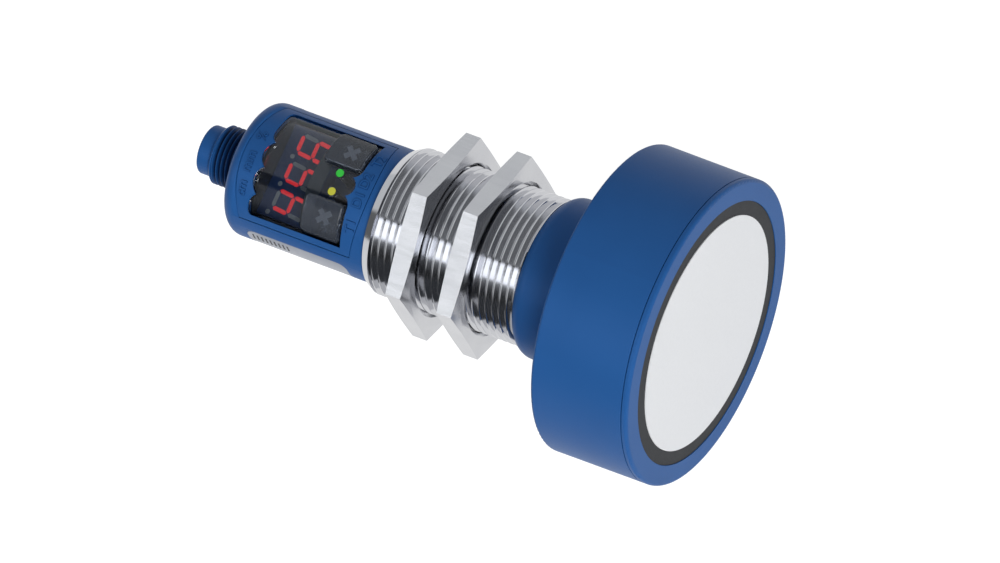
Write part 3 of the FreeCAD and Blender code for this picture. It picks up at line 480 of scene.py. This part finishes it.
# The rest of the sleeve in one line: down the lead-in cone, through the bore and up the front end.
shell_line = [(SLEEVE_LOW.x + LEAD_IN, BARREL_R - LEAD_EDGE), (SLEEVE_LOW.x, BARREL_R - LEAD_DROP),
              (SLEEVE_LOW.x, SLEEVE_BORE_R), (SLEEVE_HIGH.x, SLEEVE_BORE_R),
              (SLEEVE_HIGH.x, BARREL_R - FRONT_DROP)]
inner = bmesh.new()
bmesh.ops.spin(inner, geom=chain(inner, shell_line), cent=(0, 0, 0), axis=(1, 0, 0),
               angle=2 * math.pi, steps=TURN_STEPS, use_merge=True)
inner_mesh = bpy.data.meshes.new("sleeve_inner")
inner.to_mesh(inner_mesh)
inner.free()
sleeve.from_mesh(inner_mesh)
bpy.data.meshes.remove(inner_mesh)
for thread_end, shell_end in ((thread_front, SLEEVE_HIGH.x), (thread_back, SLEEVE_LOW.x + LEAD_IN)):
    bmesh.ops.bridge_loops(sleeve, edges=rim_edges(sleeve, thread_end) + rim_edges(sleeve, shell_end))
finish_piece("sleeve_thread", sleeve, turned_nickel, replaced=("threaded_sleeve",),
             sharp=SLEEVE_SHARP)

# %% [markdown]
# ## The plug's thread
#
# The rear housing and the plug's shell are one moulding, so the thread has to grow out of that same
# skin. A merged copy of the housing loses its plain cylinder between two cuts, and an M12 x 1 thread
# is bridged into the opening.

# %% M12 x 1 plug thread on a copy of the housing
PLUG_R = 6.0 * MM
PLUG_PITCH = 1.0 * MM
PLUG_FRONT = depth(100.95)
PLUG_BACK = depth(107.3)
PLUG_GROOVE = 0.6 * MM
PLUG_WALL = 0.3 * MM
RUN_OUT = 0.12 * MM
DEEP_SHADE = 0.15
HOUSING_SHARP = 20

# The same moulded PBT in a thread that stands in the housing's shade: dark in the grooves and towards
# the housing.
shaded_thread, tree, output = new_finish("shaded_thread_pbt")
thread_place = add(tree, "SeparateXYZ", {"Vector": add(tree, "TexCoord").outputs["Object"]})
thread_spoke = add(tree, "CombineXYZ", {"Y": thread_place.outputs["Y"], "Z": thread_place.outputs["Z"]})
thread_radius = add(tree, "VectorMath", {0: thread_spoke.outputs["Vector"]}, operation="LENGTH")
ridge = add(tree, "MapRange", {"Value": thread_radius.outputs["Value"],
                               "From Min": PLUG_R - PLUG_GROOVE, "From Max": PLUG_R})
open_end = add(tree, "MapRange", {"Value": thread_place.outputs["X"], "From Min": PLUG_FRONT,
                                  "From Max": PLUG_BACK, "To Min": DEEP_SHADE, "To Max": 1.0})
lightness = add(tree, "Math", {0: ridge.outputs["Result"], 1: open_end.outputs["Result"]},
                operation="MULTIPLY")
shade = add(tree, "ValToRGB", {"Fac": lightness.outputs["Value"]})
shade.color_ramp.elements[0].color = hue("#0A1B3C")
shade.color_ramp.elements[1].color = hue("#1F5592")
shaded = add(tree, "BsdfPrincipled", {"Base Color": shade.outputs["Color"], "Roughness": 0.42, "IOR": 1.5,
                                      "Specular IOR Level": 0.16})
tree.links.new(shaded.outputs["BSDF"], output.inputs["Surface"])

housing = bmesh.new()
housing.from_mesh(nodes["rear_housing"].data)
bmesh.ops.remove_doubles(housing, verts=housing.verts, dist=MERGE_REACH)
for cut in (PLUG_FRONT, PLUG_BACK):
    bmesh.ops.bisect_plane(housing, geom=housing.verts[:] + housing.edges[:] + housing.faces[:],
                           plane_co=(cut, 0, 0), plane_no=(1, 0, 0))
plain_skin = [face for face in housing.faces
              if PLUG_BACK < face.calc_center_median().x < PLUG_FRONT
              and face.calc_center_median().yz.length > PLUG_R - PLUG_WALL]
bmesh.ops.delete(housing, geom=plain_skin, context="FACES")
plug_skin = bmesh.new()
thread_skin(plug_skin, PLUG_PITCH, PLUG_R, PLUG_FRONT - RUN_OUT, PLUG_BACK + RUN_OUT)
# The thread's faces take the second finish of the piece.
for face in plug_skin.faces:
    face.material_index = 1
plug_mesh = bpy.data.meshes.new("plug_skin")
plug_skin.to_mesh(plug_mesh)
plug_skin.free()
housing.from_mesh(plug_mesh)
bpy.data.meshes.remove(plug_mesh)
for thread_end, cut in ((PLUG_FRONT - RUN_OUT, PLUG_FRONT), (PLUG_BACK + RUN_OUT, PLUG_BACK)):
    bmesh.ops.bridge_loops(housing, edges=rim_edges(housing, thread_end) + rim_edges(housing, cut))
finish_piece("rear_housing_skin", housing, blue_pbt, replaced=("rear_housing",),
             sharp=HOUSING_SHARP, more=(shaded_thread,))

# %% [markdown]
# ## Raised markings
#
# Keys, status lights and units are named in letters that stand a little proud of the panel, in the
# panel's own blue, as a mould with engraved letters makes them. Text starts flat with a thickness,
# is turned into a mesh, cut into narrow strips so that it can bend, and is then wrapped round the
# housing: its reading direction becomes the way round, its height runs along the axis. Letters of
# one colour with the ground are read by the shade at their feet, and soft light gives too little of
# it. So the same words are laid down once more, a little fatter, lower and darker, as painted shade.

# %% Letters wrapped round the panel
LETTER_HIGH = 2.8 * MM
LETTER_PROUD = 0.2 * MM
LETTER_SUNK = 0.2 * MM
FOOT_WIDE = 0.09 * MM
FOOT_PROUD = 0.04 * MM
STRIP = 0.4 * MM
CURVE_STEPS = 6
# Letters have finer points than other pieces, so they are merged ten times as closely.
LETTER_MERGE = 1e-7


def flat_text(words, size, thickness, fatter=0.0):
    """A centred text as a bmesh, lying flat with its top face up."""
    curve = bpy.data.curves.new("words", "FONT")
    curve.body = words
    curve.size = size
    curve.extrude = thickness / 2
    curve.offset = fatter
    curve.align_x = "CENTER"
    curve.align_y = "CENTER"
    curve.resolution_u = CURVE_STEPS
    holder = bpy.data.objects.new("words", curve)
    bpy.context.scene.collection.objects.link(holder)
    mesh = bpy.data.meshes.new_from_object(holder.evaluated_get(bpy.context.evaluated_depsgraph_get()))
    shape = bmesh.new()
    shape.from_mesh(mesh)
    bpy.data.objects.remove(holder)
    bpy.data.curves.remove(curve)
    bpy.data.meshes.remove(mesh)
    bmesh.ops.remove_doubles(shape, verts=shape.verts, dist=LETTER_MERGE)
    return shape


def wrap_text(shape, x, angle, radius):
    """Cut a flat text into strips and wrap it round the axis."""
    reach = max(abs(vert.co.x) for vert in shape.verts)
    for strip in range(-int(reach / STRIP), int(reach / STRIP) + 1):
        bmesh.ops.bisect_plane(shape, geom=shape.verts[:] + shape.edges[:] + shape.faces[:],
                               plane_co=(strip * STRIP, 0, 0), plane_no=(1, 0, 0))
    for vert in shape.verts:
        around = angle + vert.co.x / radius
        lift = radius + vert.co.z
        vert.co = (x - vert.co.y, lift * math.sin(around), lift * math.cos(around))


# Words, millimetres behind the sensing face, and degrees round from the middle of the display.
MARKINGS = (("T2", 72.1, 31.8), ("D2", 72.1, 9.8), ("D1", 72.0, -7.1), ("T1", 72.0, -29.9),
            ("%", 96.0, 16.0), ("mm", 96.3, -8.0), ("cm", 96.2, -31.0))


def lettering(proud, fatter=0.0):
    """All markings as one bmesh that stands proud of the panel and sinks into it."""
    shape = bmesh.new()
    for words, behind, degrees in MARKINGS:
        word = flat_text(words, LETTER_HIGH, proud + LETTER_SUNK, fatter)
        bmesh.ops.translate(word, verts=word.verts, vec=(0, 0, (proud - LETTER_SUNK) / 2))
        wrap_text(word, depth(behind), math.radians(degrees), HOUSING_R)
        word_mesh = bpy.data.meshes.new("word")
        word.to_mesh(word_mesh)
        word.free()
        shape.from_mesh(word_mesh)
        bpy.data.meshes.remove(word_mesh)
    return shape


# The foot of each letter: a dark line of painted shade, where a moulded corner would hold shade.
painted_shade_pbt = simple_finish("painted_shade_blue_pbt", "#123A6A", "#143D6E", 2 * MM, (0.5, 0.6), IOR=1.5,
                           Specular_IOR_Level=0.16)
finish_piece("panel_markings", lettering(LETTER_PROUD), blue_pbt, tidy=False)
finish_piece("marking_painted_shade", lettering(FOOT_PROUD, FOOT_WIDE), painted_shade_pbt, tidy=False)

# %% [markdown]
# ## Ticks on the label
#
# A bare strip of foil would look unfinished, so it gets a plain row of printed ticks, as a ruler has.
# Each tick is one thin block that sinks a little into the foil, so that its flat back hides the bend.

# %% Printed ticks
TICK_FIRST = depth(86.2)
TICK_HIGH = 1.9 * MM
TICK_WIDE = 0.36 * MM
TICK_STEP = 0.95 * MM
TICK_COUNT = 9
TICK_SUNK = 0.06 * MM
TICK_PROUD = 0.015 * MM
TICK_ANGLE = math.radians(-82)
LABEL_R = -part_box("type_label")[0].y
ticks = bmesh.new()
for number in range(TICK_COUNT):
    tick = bmesh.ops.create_cube(ticks, size=1.0)["verts"]
    bmesh.ops.scale(ticks, verts=tick, vec=(TICK_WIDE, TICK_HIGH, TICK_SUNK + TICK_PROUD))
    bmesh.ops.translate(ticks, verts=tick, vec=(TICK_FIRST - number * TICK_STEP, 0,
                                                LABEL_R + (TICK_PROUD - TICK_SUNK) / 2))
bmesh.ops.rotate(ticks, verts=ticks.verts, cent=(0, 0, 0), matrix=Matrix.Rotation(-TICK_ANGLE, 3, "X"))
# Printing ink: black, dull, hardly any thickness.
label_ink = simple_finish("black_label_ink", "#26272A", "#2C2D30", 1 * MM, (0.5, 0.6))
finish_piece("label_ticks", ticks, label_ink, tidy=False)

# %% [markdown]
# ## Digits
#
# Each digit has seven bars. A bar is one six-sided face with pointed ends, extruded into a thin block
# on the module. Lit bars glow red, the others show the pale grey of the unlit diffuser. The digits
# lean a little, as on most such displays, so every point is sheared by its height.

# %% Seven-segment digits
DIGIT_HIGH = 6.84 * MM
DIGIT_WIDE = 3.5 * MM
BAR_WIDE = 0.8 * MM
BAR_GAP = 0.12 * MM
LEAN = 0.105
DIGIT_PITCH = 5.79 * MM
DIGIT_MIDDLE = depth(87.73)
BAR_PROUD = 0.03 * MM
DOT_R = 0.48 * MM
DOT_SIDES = 24
DOT_ROW = depth(91.66)
DOT_PLACES = (-8.29, -2.51, 3.29)
HALF = DIGIT_HIGH / 2
SIDE = DIGIT_WIDE / 2
# For each bar: its middle to the right and up, its length, and whether it stands upright.
BARS = {"a": (0, HALF, DIGIT_WIDE, False), "g": (0, 0, DIGIT_WIDE, False),
        "d": (0, -HALF, DIGIT_WIDE, False), "f": (-SIDE, HALF / 2, HALF, True),
        "b": (SIDE, HALF / 2, HALF, True), "e": (-SIDE, -HALF / 2, HALF, True),
        "c": (SIDE, -HALF / 2, HALF, True)}
# The bars that glow in each of the three digits.
LIT = ("bcfg", "acdfg", "acdefg")


def add_bar(shape, right, up, length, upright, shift):
    """One pointed bar of a digit, laid on the module's face."""
    half = length / 2 - BAR_GAP
    point = BAR_WIDE / 2
    outline = [(-half, 0), (-half + point, -point), (half - point, -point), (half, 0),
               (half - point, point), (-half + point, point)]
    if upright:
        outline = [(-y, x) for x, y in outline]
    corners = []
    for x, y in outline:
        over, high = right + x, up + y
        corners.append(shape.verts.new((DIGIT_MIDDLE - high, shift + over + LEAN * high,
                                        DISPLAY_TOP - BAR_PROUD)))
    face = shape.faces.new(corners)
    lifted = bmesh.ops.extrude_face_region(shape, geom=[face])["geom"]
    bmesh.ops.translate(shape, verts=[item for item in lifted if isinstance(item, bmesh.types.BMVert)],
                        vec=(0, 0, 2 * BAR_PROUD))


lit_bars, dark_bars = bmesh.new(), bmesh.new()
for place, lit in enumerate(LIT):
    shift = (place - 1) * DIGIT_PITCH
    for name, bar in BARS.items():
        add_bar(lit_bars if name in lit else dark_bars, *bar, shift)
for across in DOT_PLACES:
    dot = bmesh.ops.create_cone(dark_bars, cap_ends=True, segments=DOT_SIDES, radius1=DOT_R,
                                radius2=DOT_R, depth=2 * BAR_PROUD)
    bmesh.ops.translate(dark_bars, verts=dot["verts"], vec=(DOT_ROW, across * MM, DISPLAY_TOP))

# Red lamp plastic: lit from behind, so it glows evenly.
red_glow, tree, output = new_finish("lit_red_diffuser")
glow_place = add(tree, "TexCoord").outputs["Object"]
red_light = mottled(tree, glow_place, "#DA2A33", "#E22E37", 1 * MM)
glow = add(tree, "BsdfPrincipled", {"Base Color": hue("#501014"), "Roughness": 0.4,
                                    "Emission Color": red_light, "Emission Strength": 1.0})
tree.links.new(glow.outputs["BSDF"], output.inputs["Surface"])
# The same plastic with no light behind it: pale grey and matt.
grey_diffuser = simple_finish("unlit_grey_diffuser", "#8C9196", "#959A9E", 0.6 * MM, (0.4, 0.5))
finish_piece("lit_segments", lit_bars, red_glow)
finish_piece("unlit_segments", dark_bars, grey_diffuser)

# %% [markdown]
# ## Crosses under the keys
#
# Each key has two crossed ribs that press its switch. Their frosted ends shine through the smoked
# cap as a pale cross, so a thin frosted cross lies inside the cap, right over the ribs of the solid.
# It is one block whose four sides are drawn out into arms, so that no two faces lie on each other.

# %% Frosted rib crosses
CROSS_SPAN = 3.4 * MM
CROSS_WIDE = 1.05 * MM
CROSS_TURN = math.radians(45)
CROSS_MIDDLE = depth(77.95)
CROSS_TOP = 11.6 * MM
CROSS_LOW = 11.2 * MM
frosted_rib = simple_finish("frosted_polycarbonate_rib", "#898C90", "#909397", 0.8 * MM, (0.5, 0.65), 0.3)
for tag in ("t1", "t2"):
    low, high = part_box("key_" + tag)
    cross = bmesh.new()
    bmesh.ops.create_cube(cross, size=1.0)
    bmesh.ops.scale(cross, verts=cross.verts, vec=(CROSS_WIDE, CROSS_WIDE, CROSS_TOP - CROSS_LOW))
    cross.normal_update()
    sides = [face for face in cross.faces if abs(face.normal.z) < 0.5]
    for arm in bmesh.ops.extrude_discrete_faces(cross, faces=sides)["faces"]:
        bmesh.ops.translate(cross, verts=arm.verts, vec=arm.normal * (CROSS_SPAN - CROSS_WIDE) / 2)
    bmesh.ops.rotate(cross, verts=cross.verts, cent=(0, 0, 0), matrix=Matrix.Rotation(CROSS_TURN, 3, "Z"))
    bmesh.ops.translate(cross, verts=cross.verts,
                        vec=(CROSS_MIDDLE, (low.y + high.y) / 2, (CROSS_TOP + CROSS_LOW) / 2))
    finish_piece("key_cross_" + tag, cross, frosted_rib, body="key_" + tag)

# %% [markdown]
# ## A white floor
#
# The picture is a cut-out on white, so the sensor lies on white studio paper that keeps only a faint
# shadow. More light on the floor would bleach the sensor too. Instead the paper glows a little, but
# only for rays that come straight from the camera, a mirror or a lens, and for all others it is
# plain matt paper. A mirror sees it slightly dimmer, so that the nickel doesn't run out to white.

# %% White floor
FLOOR_REACH = 3.0
# What the paper scatters and gives off itself, first as the camera sees it, then as a mirror does.
PAPER_SCATTER = (0.25, 0.08)
PAPER_GLOW = (0.94, 0.86)
floor_shape = bmesh.new()
bmesh.ops.create_grid(floor_shape, x_segments=1, y_segments=1, size=FLOOR_REACH)
floor_z = cad_box[0].z
bmesh.ops.translate(floor_shape, verts=floor_shape.verts, vec=(0, 0, floor_z))
floor_mesh = bpy.data.meshes.new("studio_floor")
floor_shape.to_mesh(floor_mesh)
floor_shape.free()
floor = bpy.data.objects.new("studio_floor", floor_mesh)
bpy.context.scene.collection.objects.link(floor)
paper, tree, output = new_finish("white_studio_paper")
seen = add(tree, "LightPath")
direct = add(tree, "Math", {0: seen.outputs["Is Camera Ray"], 1: seen.outputs["Is Glossy Ray"]},
             operation="MAXIMUM").outputs["Value"]
direct = add(tree, "Math", {0: direct, 1: seen.outputs["Is Transmission Ray"]}, operation="MAXIMUM")
matt = add(tree, "BsdfDiffuse", {"Color": hue("#F4F4F4")})
mirror = seen.outputs["Is Glossy Ray"]
faint = add(tree, "BsdfDiffuse", {"Color": between(tree, mirror, *PAPER_SCATTER)})
white = add(tree, "Emission", {"Strength": between(tree, mirror, *PAPER_GLOW)})
bright = add(tree, "AddShader", {0: faint.outputs["BSDF"], 1: white.outputs["Emission"]})
shown = add(tree, "MixShader", {0: direct.outputs["Value"], 1: matt.outputs["BSDF"],
                                2: bright.outputs["Shader"]})
tree.links.new(shown.outputs["Shader"], output.inputs["Surface"])
floor_mesh.materials.append(paper)
print("floor at", round(floor_z / MM, 2), "mm")

# %% [markdown]
# ## A dark card
#
# A bright round bar looks flat when all of its surroundings are pale. A photographer stands a dark
# card beside it, just outside the picture, so that one side mirrors a dark band. Here it is a low
# upright card that only mirrors can see: it throws no shadow and takes no light from the sensor.

# %% Dark card beside the sleeve
CARD_LONG = 70 * MM
CARD_HIGH = 45 * MM
CARD_AWAY = 60 * MM
CARD_MIDDLE = depth(80.0)
UPRIGHT = Matrix.Rotation(math.radians(90), 3, "X")
card_shape = bmesh.new()
bmesh.ops.create_grid(card_shape, x_segments=1, y_segments=1, size=0.5)
bmesh.ops.scale(card_shape, verts=card_shape.verts, vec=(CARD_LONG, CARD_HIGH, 1.0))
bmesh.ops.rotate(card_shape, verts=card_shape.verts, cent=(0, 0, 0), matrix=UPRIGHT)
bmesh.ops.translate(card_shape, verts=card_shape.verts,
                    vec=(CARD_MIDDLE, -CARD_AWAY, floor_z + CARD_HIGH / 2))
card_mesh = bpy.data.meshes.new("dark_card")
card_shape.to_mesh(card_mesh)
card_shape.free()
card = bpy.data.objects.new("dark_card", card_mesh)
bpy.context.scene.collection.objects.link(card)
for sight in ("camera", "diffuse", "transmission", "shadow", "volume_scatter"):
    setattr(card, "visible_" + sight, False)
# Black paper under studio lamps: a dark grey that hardly changes over the card.
black_paper, tree, output = new_finish("black_studio_paper")
dim = add(tree, "Emission", {"Color": hue("#45474A"), "Strength": 1.0})
tree.links.new(dim.outputs["Emission"], output.inputs["Surface"])
card_mesh.materials.append(black_paper)
print("card", round(CARD_LONG / MM), "by", round(CARD_HIGH / MM), "mm")

# %% [markdown]
# ## The studio round the sensor
#
# Metal shows whatever stands round it. Real lamps and panels would have to be placed one by one, so
# the world draws them: for most rays it is one even pale grey, for the camera it is white, and only
# mirrors see it in detail. There it has three rows of light and dark, laid round the sensor's axis.
# Plain surfaces such as the nuts' flats and the thread's crests mirror what stands a little behind
# the sensor, the thread's flanks mirror what stands further behind or ahead, and the lead-in cone at
# the sleeve's rear end mirrors what lies straight behind. One softbox in front gives the blue head
# its soft light and shade. It doesn't show in mirrors, which would draw its outline on every ring.

# %% Studio surroundings
# How bright the studio looks in a mirror, by the angle round the sensor from straight up in degrees,
# positive towards +Y: a little behind, far behind or ahead, and straight behind.
BRIGHTEST = 3.0
STUDIO_TINT = (0.98, 1.0, 1.02)
EVEN_GREY = [0.44, 0.45, 0.46, 1.0]
NEAR_ROW = ((-95, 0.08), (-78, 0.12), (-68, 0.55), (-54, 0.62), (-42, 0.66), (-37, 0.66),
            (-35, 0.06), (-16, 0.06), (-13, 0.75), (60, 0.78), (95, 0.82))
FAR_ROW = ((-95, 0.05), (-80, 0.04), (-72, 0.05), (-66, 0.12), (-58, 0.3), (-54, 0.42),
           (-51, 2.8), (-21, 2.8), (-19, 0.05), (-14, 0.26), (84, 0.26), (95, 0.8))
END_ROW = ((-20, 0.15), (-5, 0.7))
# Where one row fades into the next, by how far a direction points along +X.
FAR_BEHIND = (-0.41, -0.43)
FAR_AHEAD = (-0.31, -0.28)
STRAIGHT_BEHIND = (-0.82, -0.87)
# A Mix node has one set of sockets for each kind of data, and these are the ones for colours.
MIX_FIRST = 6
MIX_SECOND = 7
MIX_RESULT = 2


def studio_row(tree, angle, row):
    """Brightness of the studio round the sensor, as grey stops of a ramp."""
    ramp = add(tree, "ValToRGB", {"Fac": angle})
    stops = ramp.color_ramp.elements
    for number, (degrees, bright) in enumerate(row):
        # A new ramp already has two stops.
        stop = stops[number] if number < 2 else stops.new(0.5 + degrees / 360)
        stop.position = 0.5 + degrees / 360
        stop.color = [bright / BRIGHTEST * share for share in STUDIO_TINT] + [1.0]
    return ramp.outputs["Color"]


def fade(tree, along_x, span):
    """From 0 to 1 as a direction's X goes from the first to the second number."""
    start, end = span
    return add(tree, "MapRange", {"Value": along_x, "From Min": start, "From Max": end}).outputs["Result"]


def mixed_rows(tree, share, first, second):
    """The first row where the share is 0, the second where it is 1."""
    mix = add(tree, "Mix", {"Factor": share}, data_type="RGBA")
    tree.links.new(first, mix.inputs[MIX_FIRST])
    tree.links.new(second, mix.inputs[MIX_SECOND])
    return mix.outputs[MIX_RESULT]


world = bpy.data.worlds.new("pale_studio")
bpy.context.scene.world = world
world.use_nodes = True
tree = world.node_tree
tree.nodes.clear()
path = add(tree, "LightPath")
toward = add(tree, "SeparateXYZ", {"Vector": add(tree, "TexCoord").outputs["Generated"]})
round_axis = add(tree, "Math", {0: toward.outputs["Y"], 1: toward.outputs["Z"]}, operation="ARCTAN2")
angle = add(tree, "MapRange", {"Value": round_axis.outputs["Value"], "From Min": -math.pi,
                               "From Max": math.pi}).outputs["Result"]
along_x = toward.outputs["X"]
far_share = add(tree, "Math", {0: fade(tree, along_x, FAR_BEHIND), 1: fade(tree, along_x, FAR_AHEAD)},
                operation="MAXIMUM").outputs["Value"]
rows = mixed_rows(tree, far_share, studio_row(tree, angle, NEAR_ROW), studio_row(tree, angle, FAR_ROW))
end_share = fade(tree, along_x, STRAIGHT_BEHIND)
all_rows = mixed_rows(tree, end_share, rows, studio_row(tree, angle, END_ROW))
even = add(tree, "Background", {"Color": EVEN_GREY, "Strength": 1.0})
studio = add(tree, "Background", {"Color": all_rows, "Strength": BRIGHTEST})
backdrop = add(tree, "Background", {"Color": [1.0, 1.0, 1.0, 1.0], "Strength": 1.0})
mirrored = add(tree, "MixShader", {0: path.outputs["Is Glossy Ray"], 1: even.outputs["Background"],
                                   2: studio.outputs["Background"]})
whole = add(tree, "MixShader", {0: path.outputs["Is Camera Ray"], 1: mirrored.outputs["Shader"],
                                2: backdrop.outputs["Background"]})
ending = add(tree, "OutputWorld")
tree.links.new(whole.outputs["Shader"], ending.inputs["Surface"])


SOFTBOX_FROM = Vector((0.6, -0.5, 0.6)).normalized()
SOFTBOX_AWAY = 1.5
SOFTBOX_WIDE = 0.6
SOFTBOX_RADIANCE = 10.6
SENSOR_MIDDLE = Vector((depth(50), 0, 0))
lamp = bpy.data.lights.new("front_softbox", "AREA")
lamp.shape = "RECTANGLE"
lamp.size = SOFTBOX_WIDE
lamp.size_y = SOFTBOX_WIDE
# An area lamp's radiance is its power over four times its area.
lamp.energy = 4 * SOFTBOX_RADIANCE * SOFTBOX_WIDE * SOFTBOX_WIDE
softbox = bpy.data.objects.new("front_softbox", lamp)
lamp_side = (Vector((1, 0, 0)) - SOFTBOX_FROM * SOFTBOX_FROM.x).normalized()
lamp_turn = Matrix((lamp_side, SOFTBOX_FROM.cross(lamp_side), SOFTBOX_FROM)).transposed().to_4x4()
softbox.matrix_world = Matrix.Translation(SENSOR_MIDDLE + SOFTBOX_FROM * SOFTBOX_AWAY) @ lamp_turn
softbox.visible_glossy = False
bpy.context.scene.collection.objects.link(softbox)
print("three studio rows and one softbox of", round(lamp.energy, 2), "W")

# %% [markdown]
# ## The camera
#
# In the picture the sensor's far end is drawn at nearly the same scale as its near one, as a long
# lens from far away shows it. Three directions fix the view: towards the camera, up in the picture,
# and across. The lens is 900 mm on a 36 mm sensor, so the camera stands as many times the frame's
# width away as the lens is longer than the sensor is wide.

# %% Camera
BACK = Vector((0.381, -0.1653, 0.9097)).normalized()
UP = Vector((-0.3212, 0.8989, 0.2979))
UP = (UP - BACK * UP.dot(BACK)).normalized()
RIGHT = UP.cross(BACK)
AIM = RIGHT * -39.76 * MM + UP * 9.94 * MM
LENS = 900.0
SENSOR = 36.0
FRAME_WIDE = 192.0 * MM
SIGHT_END = 40.0
lens = bpy.data.cameras.new("catalogue_camera")
lens.lens = LENS
lens.sensor_width = SENSOR
lens.clip_end = SIGHT_END
camera = bpy.data.objects.new("catalogue_camera", lens)
camera.matrix_world = (Matrix.Translation(AIM + BACK * FRAME_WIDE * LENS / SENSOR)
                       @ Matrix((RIGHT, UP, BACK)).transposed().to_4x4())
bpy.context.scene.collection.objects.link(camera)
bpy.context.scene.camera = camera
bpy.context.scene.view_settings.view_transform = "Standard"
print("camera", round(camera.matrix_world.translation.length, 2), "m away")
